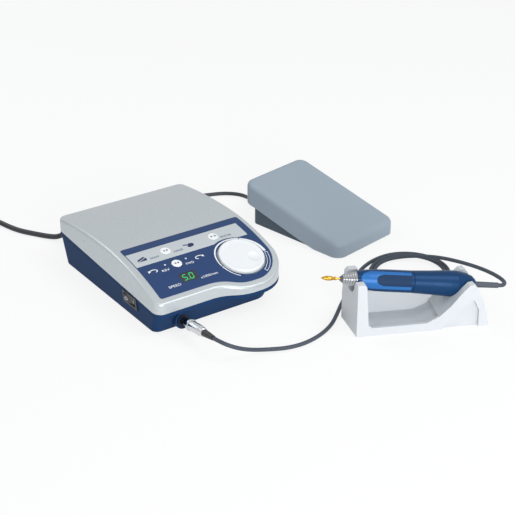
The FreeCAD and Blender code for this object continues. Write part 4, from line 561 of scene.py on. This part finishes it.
def spline_object(name, points, diameter, finish):
    """Curve of one smooth spline with the route's points as its control points, in metres."""
    curve = bpy.data.curves.new(name, "CURVE")
    curve.dimensions = "3D"
    curve.resolution_u = SPLINE_STEPS
    curve.bevel_depth = diameter / 2
    curve.bevel_resolution = BEVEL_STEPS
    curve.use_fill_caps = True
    spline = curve.splines.new("NURBS")
    spline.points.add(len(points) - 1)
    flat = np.concatenate([np.array(points, float) * MM, np.ones((len(points), 1))], axis=1)
    spline.points.foreach_set("co", flat.ravel())
    spline.order_u = 3
    spline.use_endpoint_u = True
    curve.materials.append(finish)
    made = bpy.data.objects.new(name, curve)
    bpy.context.scene.collection.objects.link(made)
    return made


def centreline(route):
    """Points of the smooth spline through a route, as Blender gives them for a curve with no bevel."""
    bare = spline_object("centreline", route, 0.0, None)
    mesh = bpy.data.meshes.new_from_object(bare.evaluated_get(bpy.context.evaluated_depsgraph_get()))
    points = np.zeros(len(mesh.vertices) * 3)
    mesh.vertices.foreach_get("co", points)
    bpy.data.objects.remove(bare)
    return points.reshape(-1, 3)


class MICROMOTOR_OT_cords(bpy.types.Operator):
    """Motor cord, mains cord and pedal cord, each on one smooth line"""
    bl_idname = "micromotor.cords"
    bl_label = "Cords"

    def execute(self, context):
        sizes = context.scene.micromotor_sizes
        colours = context.scene.micromotor_colours
        sheath = rubbery("cord_sheath", tuple(colours.cord), 0.5, Specular_IOR_Level=0.25)

        loops = loop_points(**MOTOR_LOOPS, height=MOTOR_LAY)
        boot = [along_barrel(BOOT_AIM_AT), along_barrel(BOOT_END_AT)]
        line = centreline([PLUG_END] + MOTOR_FRONT + loops + MOTOR_TAIL + boot)
        motor = tube(line, sizes.motor_cord / 2, MOTOR_SIDES, "motor_lead", sheath)
        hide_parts("motor_cord")
        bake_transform(motor)

        black = rubbery("mains_sheath", shade("2E3136"), 0.45)
        coil = coil_points(POWER_COIL, POWER_START, wound(POWER_OUTER, POWER_THICK, POWER_TAIL))
        power = spline_object("mains_lead", POWER_ROUTE + coil + POWER_LEAD, sizes.power_cord, black)
        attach(power, "base")
        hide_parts("power_cord", "power_cord_coil")

        grey = rubbery("pedal_sheath", shade("3A3F46"), 0.5)
        coil = coil_points(PEDAL_COIL, PEDAL_START, wound(PEDAL_OUTER, PEDAL_THICK, PEDAL_TAIL))
        lead = spline_object("pedal_lead", [PEDAL_EXIT] + PEDAL_ROUTE + coil + PEDAL_LEAD,
                             sizes.pedal_cord, grey)
        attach(lead, "base")
        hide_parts("pedal_cord", "pedal_cord_coil")
        return {"FINISHED"}


# Finishes of the carried-over nodes

# Direction across the pad's ribs, square to the barrel's axis and nearest to upright
RIB_WAY = (0.1267, -0.0577, 0.9903)
RIB_PITCH = 0.0011


def dress(node, finish):
    """Puts a finish into every material slot of a CAD node."""
    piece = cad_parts[node]
    if not piece.material_slots:
        piece.data.materials.append(finish)
    for slot in piece.material_slots:
        slot.material = finish


class MICROMOTOR_OT_finishes(bpy.types.Operator):
    """Procedural finishes for every solid of the set"""
    bl_idname = "micromotor.finishes"
    bl_label = "Finishes"

    def execute(self, context):
        colours = context.scene.micromotor_colours
        black = moulded("black_plastic", shade("24262A"), 0.45, 1400.0)
        steel = metal_finish("turned_steel", shade("B9BDC2"), 0.28)
        chrome = metal_finish("polished_chrome", shade("DADDE0"), 0.12, streak=0.06)
        finishes = {
            moulded("navy_plastic", tuple(colours.housing), 0.36, 1100.0, 0.000012, Specular_IOR_Level=0.02):
                ["base_housing"],
            painted("silver_paint", tuple(colours.cover), 0.3, 0.35): ["top_cover"],
            printed("navy_print", tuple(colours.panel), 0.33, Specular_IOR_Level=0.12): ["panel_label"],
            glazed("smoked_window", shade("0B0D0F"), 0.08): ["display_window"],
            painted("pearl_paint", tuple(colours.knob), 0.3, 0.12): ["speed_knob"],
            moulded("key_plastic", shade("F2F4F5"), 0.35, 1800.0, 0.000006):
                ["drive_select_key", "direction_key", "motor_run_key"],
            moulded("rocker_plastic", shade("1E2024"), 0.3, 1600.0, 0.000008): ["switch_rocker"],
            black: ["switch_frame", "fuse_holder", "pedal_socket", "display_module", "key_switches",
                    "mains_gland", "power_plug_body", "pedal_plug", "plug_boot"],
            moulded("board_laminate", shade("2E6A48"), 0.4, 2500.0):
                ["front_board", "power_board", "pedal_board"],
            moulded("component_epoxy", shade("35383C"), 0.5, 1500.0):
                ["board_components", "potentiometer_body"],
            metal_finish("core_laminations", shade("8C8F92"), 0.4, (1, 1, 12), 400.0):
                ["transformer", "stator"],
            metal_finish("sink_aluminium", shade("C3C7CA"), 0.34, (1, 1, 6), 900.0): ["heat_sink"],
            steel: ["potentiometer_shaft", "housing_screws", "spindle", "front_bearing", "rear_bearing",
                    "rotor", "hinge_pin", "return_spring"],
            chrome: ["plug_ring", "plug_shell"],
            metal_finish("ridged_chrome", shade("B2B4B8"), 0.2, streak=0.06): ["nose_cone"],
            metal_finish("dark_chrome", shade("6A7076"), 0.16, streak=0.06): ["plug_nose"],
            moulded("socket_plastic", shade("10182E"), 0.4, 1400.0, Specular_IOR_Level=0.3):
                ["motor_socket"],
            metal_finish("dark_collet", shade("74787D"), 0.25): ["collet"],
            metal_finish("gold_carbide", shade("CFA243"), 0.3, (1, 1, 1), 2600.0, 0.16): ["bur"],
            painted("barrel_paint", tuple(colours.barrel), 0.34, 0.2, Specular_IOR_Level=0.15):
                ["grip_sleeve", "motor_housing", "tail_cap"],
            painted("accent_paint", tuple(colours.accent), 0.34, 0.1, Specular_IOR_Level=0.2):
                ["grip_accent"],
            ribbed("pad_rubber", tuple(colours.pad), RIB_WAY, RIB_PITCH): ["grip_pad"],
            moulded("stand_plastic", tuple(colours.stand), 0.5, 800.0, 0.00002, 0.97,
                    Specular_IOR_Level=0.3): ["stand"],
            moulded("pedal_plastic", tuple(colours.pedal), 0.48, 750.0, 0.00003, 0.96,
                    Specular_IOR_Level=0.3): ["pedal_cover"],
            moulded("pedal_base_plastic", tuple(colours.pedal_base), 0.5, 750.0, 0.00003, 0.94,
                    Specular_IOR_Level=0.25): ["pedal_base"],
            rubbery("foot_rubber", shade("26282B"), 0.7): ["rubber_feet", "pedal_feet", "pedal_gland"],
            rubbery("boot_rubber", tuple(colours.cord), 0.5): ["cord_boot"],
            lit("lamp_red", shade("F3F5F6"), 0.25): ["indicator_leds"],
            metal_finish("pin_brass", shade("C9B273"), 0.25): ["power_plug_pins"],
        }
        for finish, names in finishes.items():
            for name in names:
                dress(name, finish)
        sheath = bpy.data.materials["cord_sheath"]
        for name in ("motor_cord", "power_cord", "power_cord_coil", "pedal_cord", "pedal_cord_coil"):
            dress(name, sheath)
        return {"FINISHED"}


# Printed panel: lengths in millimetres, angles in degrees from the unit's +X, anticlockwise from above

CROWN_TOP = 66.0
CROWN_LINE = 8.5
CROWN_HALF = 122.0
CROWN_DROP = 25.1
# Radius of the arc that falls by the drop over the half length
CROWN_R = (CROWN_HALF ** 2 + CROWN_DROP ** 2) / (2 * CROWN_DROP)
LABEL_THICK = 0.4
PRINT_ROOT = 0.05
KNOB = (42.0, -85.0)
BAND_LEFT = -76.0
BAND_RIGHT = 70.2
BAND_REAR = -30.9
BAND_FRONT = -55.8
BAND_BEND = (40.5, -86.0)
BAND_BEND_RADIUS = 34.0
BAND_POINTS = 160
BAND_ROWS = 18
RING_INNER = (28.9, 28.9)
# Pieces of the scale ring: name, outer radius at both ends, first and last angle, points
SCALE_RING = (
    ("scale_ring_low", (29.5, 30.1), -125, -169, 30),
    ("scale_ring_middle", (30.1, 31.3), -171, -297, 60),
    ("scale_ring_high", (31.3, 32.2), -299, -364, 40),
)
FINE_RANGE = (29.1, 32.8)
FINE_WIDE = 0.5
FINE_ANGLES = (-8, -60)
FINE_POINTS = 24
SPOKE_POINTS = 4
ARROWS = (("reverse_arrow", (-62.6, -68.3), 1), ("forward_arrow", (-2.6, -67.6), -1))
ARROW_ANGLES = (-62, 158)
ARROW_OUTER = (5.4, 2.9)
ARROW_INNER = (4.3, 1.9)
ARROW_POINTS = 36
ARROW_HEAD = ((-1.6, -2.1), (1.7, -0.3), (-1.2, 1.7))
# Words: name, text, middle, width
WHITE_WORDS = (
    ("reverse_word", "REV", (-48.5, -71.6), 9.6), ("forward_word", "FWD", (-17.5, -71.8), 10.0),
    ("speed_word", "SPEED", (-52.2, -96.0), 15.4), ("times_word", "x1000/min", (-8.0, -95.9), 21.5),
)
DARK_WORDS = (
    ("foot_word", "FOOT", (-48.2, -48.0), 11.4), ("hand_word", "HAND", (-17.6, -48.0), 11.6),
    ("motor_word", "MOTOR", (46.0, -47.4), 14.2),
)
# Flat shapes: name, corners
ICONS = (
    ("foot_icon_plate", [(-69.8, -47.6), (-68.6, -44.4), (-59.6, -41.4), (-58.6, -43.2)]),
    ("foot_icon_base", [(-68.8, -48.4), (-58.2, -48.4), (-57.6, -43.8)]),
    ("hand_icon_rod", [(-8.6, -42.6), (-7.8, -41.2), (2.2, -44.6), (1.4, -46.6)]),
    ("hand_icon_palm", [(-4.6, -46.8), (-2.4, -48.6), (2.6, -47.6), (4.6, -44.6), (2.8, -42.0),
                        (-0.8, -41.6), (-2.6, -43.8)]),
)


def crown_points(x, y, lift):
    """Points over plan places in millimetres: the crown is an arc about an axis along X, grown by lift."""
    radius = CROWN_R + LABEL_THICK + lift
    z = CROWN_TOP - CROWN_R + np.sqrt(radius ** 2 - (y - CROWN_LINE) ** 2)
    return np.stack([x, y, z], axis=-1) * MM


def panel_strip(name, outer, inner, rise, finish, rows=5):
    """Print between two edges with as many points each: straight lines across, laid on the crown."""
    share = np.linspace(0, 1, rows)[:, None, None]
    plan = outer[None] * (1 - share) + inner[None] * share
    x, y = plan[..., 0], plan[..., 1]
    return slab(crown_points(x, y, rise / MM), crown_points(x, y, -PRINT_ROOT), name, finish)


def prism(name, top, bottom, finish):
    """Closed thin prism between two rings of as many points, both anticlockwise from outside."""
    count = len(top)
    ring = np.arange(count)
    after = (ring + 1) % count
    walls = np.stack([ring, ring + count, after + count, after], axis=-1).tolist()
    faces = [ring.tolist(), (ring[::-1] + count).tolist()] + walls
    return add_mesh(name, np.concatenate([top, bottom]), faces, finish, smooth=False)


def panel_shape(name, corners, rise, finish):
    """Small flat print with straight sides: its corners, anticlockwise, laid on the crown."""
    x, y = np.array(corners, float).T
    return prism(name, crown_points(x, y, rise / MM), crown_points(x, y, -PRINT_ROOT), finish)


LETTER_DEEP = 0.02
LETTER_STEPS = 3


def letters(name, words, finish):
    """Flat mesh of some words, its capitals one unit high, centred on the origin."""
    curve = bpy.data.curves.new(name, "FONT")
    curve.body = words
    curve.extrude = LETTER_DEEP
    curve.resolution_u = LETTER_STEPS
    made = bpy.data.objects.new(name, curve)
    bpy.context.scene.collection.objects.link(made)
    mesh = bpy.data.meshes.new_from_object(made.evaluated_get(bpy.context.evaluated_depsgraph_get()))
    bpy.data.objects.remove(made)
    points = np.zeros(len(mesh.vertices) * 3)
    mesh.vertices.foreach_get("co", points)
    points = points.reshape(-1, 3)
    low, high = points.min(0), points.max(0)
    points = (points - (low + high) / 2) / (high[1] - low[1])
    mesh.materials.clear()
    mesh.materials.append(finish)
    piece = bpy.data.objects.new(name, mesh)
    bpy.context.scene.collection.objects.link(piece)
    return piece, points


def panel_word(name, words, middle, width, height, rise, finish):
    """Words on the crown, their capitals height high and width wide, middle in plan millimetres."""
    piece, points = letters(name, words, finish)
    span = points[:, 0].max() - points[:, 0].min()
    x = middle[0] + points[:, 0] / span * width
    y = middle[1] + points[:, 1] * height
    lift = np.where(points[:, 2] > 0, rise / MM, -PRINT_ROOT)
    piece.data.vertices.foreach_set("co", crown_points(x, y, lift).astype(np.float32).ravel())
    piece.data.update()
    return piece


RING_POINTS = 33


class Plane:
    """Flat place for small marks: an origin in millimetres and its three directions."""

    def __init__(self, origin, across, up, out):
        self.origin = np.array(origin, float)
        self.axes = np.array([across, up, out], float)

    def at(self, x, y, lift):
        flat = np.stack(np.broadcast_arrays(np.asarray(x, float), y, lift), axis=-1)
        return (self.origin + flat @ self.axes) * MM

    def shape(self, name, corners, lift, rise, finish):
        """Thin prism over anticlockwise corners, from just under the surface at lift to rise above it."""
        x, y = np.array(corners, float).T
        return prism(name, self.at(x, y, lift + rise), self.at(x, y, lift - PRINT_ROOT), finish)

    def ring(self, name, centre, outer, inner, lift, rise, finish):
        """Flat ring between two radii."""
        angle = np.linspace(0, 2 * np.pi, RING_POINTS)
        reach = np.array([outer, (outer + inner) / 2, inner])[:, None]
        x = centre[0] + reach * np.cos(angle)
        y = centre[1] + reach * np.sin(angle)
        return slab(self.at(x, y, lift + rise), self.at(x, y, lift - PRINT_ROOT), name, finish)


def crown_plane(x, y):
    """Plane that touches the crown at a place in plan, its up direction climbing to the rear."""
    lean = math.asin((CROWN_LINE - y) / CROWN_R)
    foot = (x, y, CROWN_TOP - CROWN_R + CROWN_R * math.cos(lean))
    return Plane(foot, (1, 0, 0), (0, math.cos(lean), math.sin(lean)), (0, -math.sin(lean), math.cos(lean)))


DIGIT_WIDE = 0.52
DIGIT_HALF_BAR = 0.055
DIGIT_LEAN = 0.13
DIGIT_GAP = 0.35
DIGIT_PARTS = {"5": "afgcd", "0": "abcdef"}


def seven_segments(plane, name, digit, left, high, lift, rise, finish):
    """Lit segments of a leaning digit: each is a bar with pointed ends."""
    wide = high * DIGIT_WIDE
    half = high * DIGIT_HALF_BAR
    lower, middle, upper = -high / 2, 0.0, high / 2
    places = {
        "a": ((0, upper), (wide, upper)), "b": ((wide, middle), (wide, upper)),
        "c": ((wide, lower), (wide, middle)), "d": ((0, lower), (wide, lower)),
        "e": ((0, lower), (0, middle)), "f": ((0, middle), (0, upper)), "g": ((0, middle), (wide, middle)),
    }
    made = []
    for label in DIGIT_PARTS[digit]:
        start, end = np.array(places[label], float)
        way = (end - start) / np.linalg.norm(end - start)
        side = np.array([-way[1], way[0]]) * half
        start, end = start + way * half * DIGIT_GAP, end - way * half * DIGIT_GAP
        corners = np.array([start, start + way * half - side, end - way * half - side, end,
                            end - way * half + side, start + way * half + side])
        corners[:, 0] += left + DIGIT_LEAN * corners[:, 1]
        made.append(plane.shape("%s_%s" % (name, label), corners, lift, rise, finish))
    return made


def arc_points(centre, radii, first, last, count):
    """Points on an arc whose radius runs evenly from the first to the second radius."""
    angle = np.radians(np.linspace(first, last, count))
    reach = np.linspace(radii[0], radii[1], count)
    return np.stack([centre[0] + reach * np.cos(angle), centre[1] + reach * np.sin(angle)], axis=-1)


def band_edge(x):
    """Lower edge of the silver band: straight, lifted to a circle round the knob."""
    span = np.clip(BAND_BEND_RADIUS ** 2 - (x - BAND_BEND[0]) ** 2, 0, None)
    return np.maximum(BAND_BEND[1] + np.sqrt(span), BAND_FRONT)


def knob_strip(name, outer, inner, angles, count, rise, finish, rows):
    """Print between two arcs round the knob."""
    return panel_strip(name, arc_points(KNOB, outer, *angles, count), arc_points(KNOB, inner, *angles, count),
                       rise, finish, rows)


def knob_spoke(name, first, last, rise, finish):
    """Short print across the fine range, between two angles."""
    return panel_strip(name, arc_points(KNOB, FINE_RANGE, first, first, SPOKE_POINTS),
                       arc_points(KNOB, FINE_RANGE, last, last, SPOKE_POINTS), rise, finish, 2)


def bow_arrow(name, centre, way, rise, finish):
    """Bent arrow: a band along part of an ellipse, and the head at its end. way is 1 for an arrow that runs
    anticlockwise and -1 for its mirror image."""
    first, last = ARROW_ANGLES
    if way < 0:
        first, last = 180 - first, 180 - last
    bow = np.radians(np.linspace(first, last, ARROW_POINTS))
    flat = np.stack([np.cos(bow), np.sin(bow)], axis=-1)
    edges = [np.array(centre) + flat * reach for reach in (ARROW_OUTER, ARROW_INNER)]
    tip = edges[0][-1] * 0.5 + edges[1][-1] * 0.5
    head = (tip + np.array(ARROW_HEAD) * (way, 1))[::way]
    return [panel_strip(name, edges[way < 0], edges[way > 0], rise, finish, 2),
            panel_shape(name + "_head", head, rise, finish)]


class MICROMOTOR_OT_panel_print(bpy.types.Operator):
    """Silver band, scale ring, arrows, icons and words printed on the panel"""
    bl_idname = "micromotor.panel_print"
    bl_label = "Panel print"

    def execute(self, context):
        sizes = context.scene.micromotor_sizes
        rise = sizes.print_rise
        colours = context.scene.micromotor_colours
        silver = printed("silver_print", tuple(colours.cover), 0.36)
        white = printed("white_print", shade("F3F5F7"), 0.4)
        navy = printed("navy_marks", shade("27335A"), 0.4, Specular_IOR_Level=0.2)

        x = np.linspace(BAND_LEFT, BAND_RIGHT, BAND_POINTS)
        upper = np.stack([x, np.full_like(x, BAND_REAR)], axis=-1)
        lower = np.stack([x, band_edge(x)], axis=-1)
        band = panel_strip("panel_band", upper, lower, rise, silver, BAND_ROWS)

        whites = [knob_strip(name, outer, RING_INNER, (first, last), count, rise, white, 3)
                  for name, outer, first, last, count in SCALE_RING]
        low, high = FINE_RANGE
        first, last = FINE_ANGLES
        whites += [
            knob_strip("fine_range_outer", (high, high), (high - FINE_WIDE, high - FINE_WIDE), FINE_ANGLES,
                       FINE_POINTS, rise, white, 2),
            knob_strip("fine_range_inner", (low + FINE_WIDE, low + FINE_WIDE), (low, low), FINE_ANGLES,
                       FINE_POINTS, rise, white, 2),
            knob_spoke("fine_range_end", last, last - 1, rise, white),
            knob_spoke("fine_range_start", first + 1, first, rise, white),
        ]
        for name, centre, way in ARROWS:
            whites += bow_arrow(name, centre, way, rise, white)
        height = sizes.small_words / MM
        whites += [panel_word(name, words, middle, width, height, rise, white)
                   for name, words, middle, width in WHITE_WORDS]
        print_white = joined("panel_white_print", whites)

        darks = [panel_word(name, words, middle, width, height, 2 * rise, navy)
                 for name, words, middle, width in DARK_WORDS]
        darks += [panel_shape(name, corners, 2 * rise, navy) for name, corners in ICONS]
        print_navy = joined("panel_navy_print", darks)
        for piece in (band, print_white, print_navy):
            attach(piece, "base")
        return {"FINISHED"}


# Marks on the keys, the display and the rocker

KEY_FIELD = crown_plane(0.0, -54.5)
KEY_RISE = 0.8
LEFT_HEAD = ((-3.2, 0.0), (-0.9, -1.7), (-0.9, 1.7))
RIGHT_HEAD = ((0.9, -1.7), (3.2, 0.0), (0.9, 1.7))
RUN_HEAD = ((-3.1, -1.7), (-0.8, 0.0), (-3.1, 1.7))
PAUSE_LEFT = ((1.0, -1.6), (1.8, -1.6), (1.8, 1.6), (1.0, 1.6))
PAUSE_RIGHT = ((2.7, -1.6), (3.5, -1.6), (3.5, 1.6), (2.7, 1.6))
# Marks of each key: name, body, place on the key field, shapes
KEY_MARKS = (
    ("select_arrows", "select_key", (-31.3, 12.3), (LEFT_HEAD, RIGHT_HEAD)),
    ("direction_arrows", "direction_key_body", (-31.6, -12.4), (LEFT_HEAD, RIGHT_HEAD)),
    ("run_marks", "run_key", (31.9, 12.3), (RUN_HEAD, PAUSE_LEFT, PAUSE_RIGHT)),
)
WINDOW = crown_plane(-30.5, -89.0)
WINDOW_LIFT = 0.2
DIGIT_HIGH = 8.2
# Digits: name, figure, left edge
DIGITS = (("five", "5", -6.6), ("nought", "0", 1.6))
POINT_PLACE = (-0.9, -4.2)
POINT_OUTER = 0.55
POINT_INNER = 0.05
ROCKER_FACE = 1.6
# Slope of the rocker's two faces: 1.414 mm over 11.42 mm
ROCKER_SLOPE = math.atan2(1.414, 11.42)
OFF_PLACE = (6.2, 0.0)
OFF_OUTER = 2.2
OFF_INNER = 1.6
ON_BAR = ((-6.5, -2.0), (-5.9, -2.0), (-5.9, 2.0), (-6.5, 2.0))
ROCKER_PIVOT = (-84.0748, -54.5, 22.5981)
# Lean of the left wall at the switch: 3 mm over the wall's height there, which grows to the rear
SWITCH_LEAN = math.atan(3.0 / (28.4 + 13.6 * 59.0 / 227.0 - 1.5))
ROCKER_TIP = math.radians(10.0)


def rocker_plane():
    """Plane of the rocker about its pivot: across runs to the rear, out points away from the wall."""
    down = np.array([math.sin(SWITCH_LEAN), 0.0, -math.cos(SWITCH_LEAN)])
    out = np.array([-math.cos(SWITCH_LEAN), 0.0, -math.sin(SWITCH_LEAN)])
    rear = np.array([0.0, 1.0, 0.0])
    across = rear * math.cos(ROCKER_TIP) + out * math.sin(ROCKER_TIP)
    outward = out * math.cos(ROCKER_TIP) - rear * math.sin(ROCKER_TIP)
    return Plane(ROCKER_PIVOT, across, -down, outward)


def rocker_face(side):
    """Plane of one of the rocker's two sloping faces: side is 1 for the rear one and -1 for the front."""
    rocker = rocker_plane()
    across, up, out = rocker.axes
    sloping = math.cos(ROCKER_SLOPE) * across + side * math.sin(ROCKER_SLOPE) * out
    outward = math.cos(ROCKER_SLOPE) * out - side * math.sin(ROCKER_SLOPE) * across
    return Plane(rocker.origin + ROCKER_FACE * out, sloping, up, outward)


class MICROMOTOR_OT_marks(bpy.types.Operator):
    """Arrows on the keys, the lit number in the display, and the rocker's two marks"""
    bl_idname = "micromotor.marks"
    bl_label = "Marks"

    def execute(self, context):
        rise = context.scene.micromotor_sizes.mark_rise / MM
        navy = bpy.data.materials["navy_marks"]
        for name, body, place, shapes in KEY_MARKS:
            marks = [KEY_FIELD.shape(name + str(index), np.array(shape) + place, KEY_RISE, rise, navy)
                     for index, shape in enumerate(shapes)]
            piece = joined(name, marks)
            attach(piece, body)

        green = lit("lit_segments", shade("27C77A"), 0.9)
        digits = []
        for name, digit, left in DIGITS:
            digits += seven_segments(WINDOW, name, digit, left, DIGIT_HIGH, WINDOW_LIFT, rise, green)
        digits.append(WINDOW.ring("point", POINT_PLACE, POINT_OUTER, POINT_INNER, WINDOW_LIFT, rise, green))
        number = joined("display_digits", digits)
        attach(number, "base")

        white = printed("rocker_print", shade("DDE1E4"), 0.4)
        marks = [rocker_face(1).ring("off_mark", OFF_PLACE, OFF_OUTER, OFF_INNER, 0.0, rise, white),
                 rocker_face(-1).shape("on_mark", ON_BAR, 0.0, rise, white)]
        signs = joined("rocker_signs", marks)
        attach(signs, "rocker")
        return {"FINISHED"}


OPERATORS = (MICROMOTOR_OT_stage, MICROMOTOR_OT_cords, MICROMOTOR_OT_finishes, MICROMOTOR_OT_panel_print,
             MICROMOTOR_OT_marks)


class MICROMOTOR_PT_panel(bpy.types.Panel):
    """Lists the set's sizes, colours and operators"""
    bl_label = "Micromotor"
    bl_idname = "MICROMOTOR_PT_panel"
    bl_space_type = "VIEW_3D"
    bl_region_type = "UI"
    bl_category = "Micromotor"

    def draw(self, context):
        for group in (context.scene.micromotor_sizes, context.scene.micromotor_colours):
            box = self.layout.box()
            for name in group.__annotations__:
                box.prop(group, name)
        for operator in OPERATORS:
            self.layout.operator(operator.bl_idname)


CLASSES = (MicromotorSizes, MicromotorColours, *OPERATORS, MICROMOTOR_PT_panel)


def register():
    for one in CLASSES:
        bpy.utils.register_class(one)
    bpy.types.Scene.micromotor_sizes = PointerProperty(type=MicromotorSizes)
    bpy.types.Scene.micromotor_colours = PointerProperty(type=MicromotorColours)


def unregister():
    del bpy.types.Scene.micromotor_colours
    del bpy.types.Scene.micromotor_sizes
    for one in reversed(CLASSES):
        bpy.utils.unregister_class(one)


def main():
    register()
    for operator in OPERATORS:
        module, action = operator.bl_idname.split(".")
        getattr(getattr(bpy.ops, module), action)()


if __name__ == "__main__":
    main()
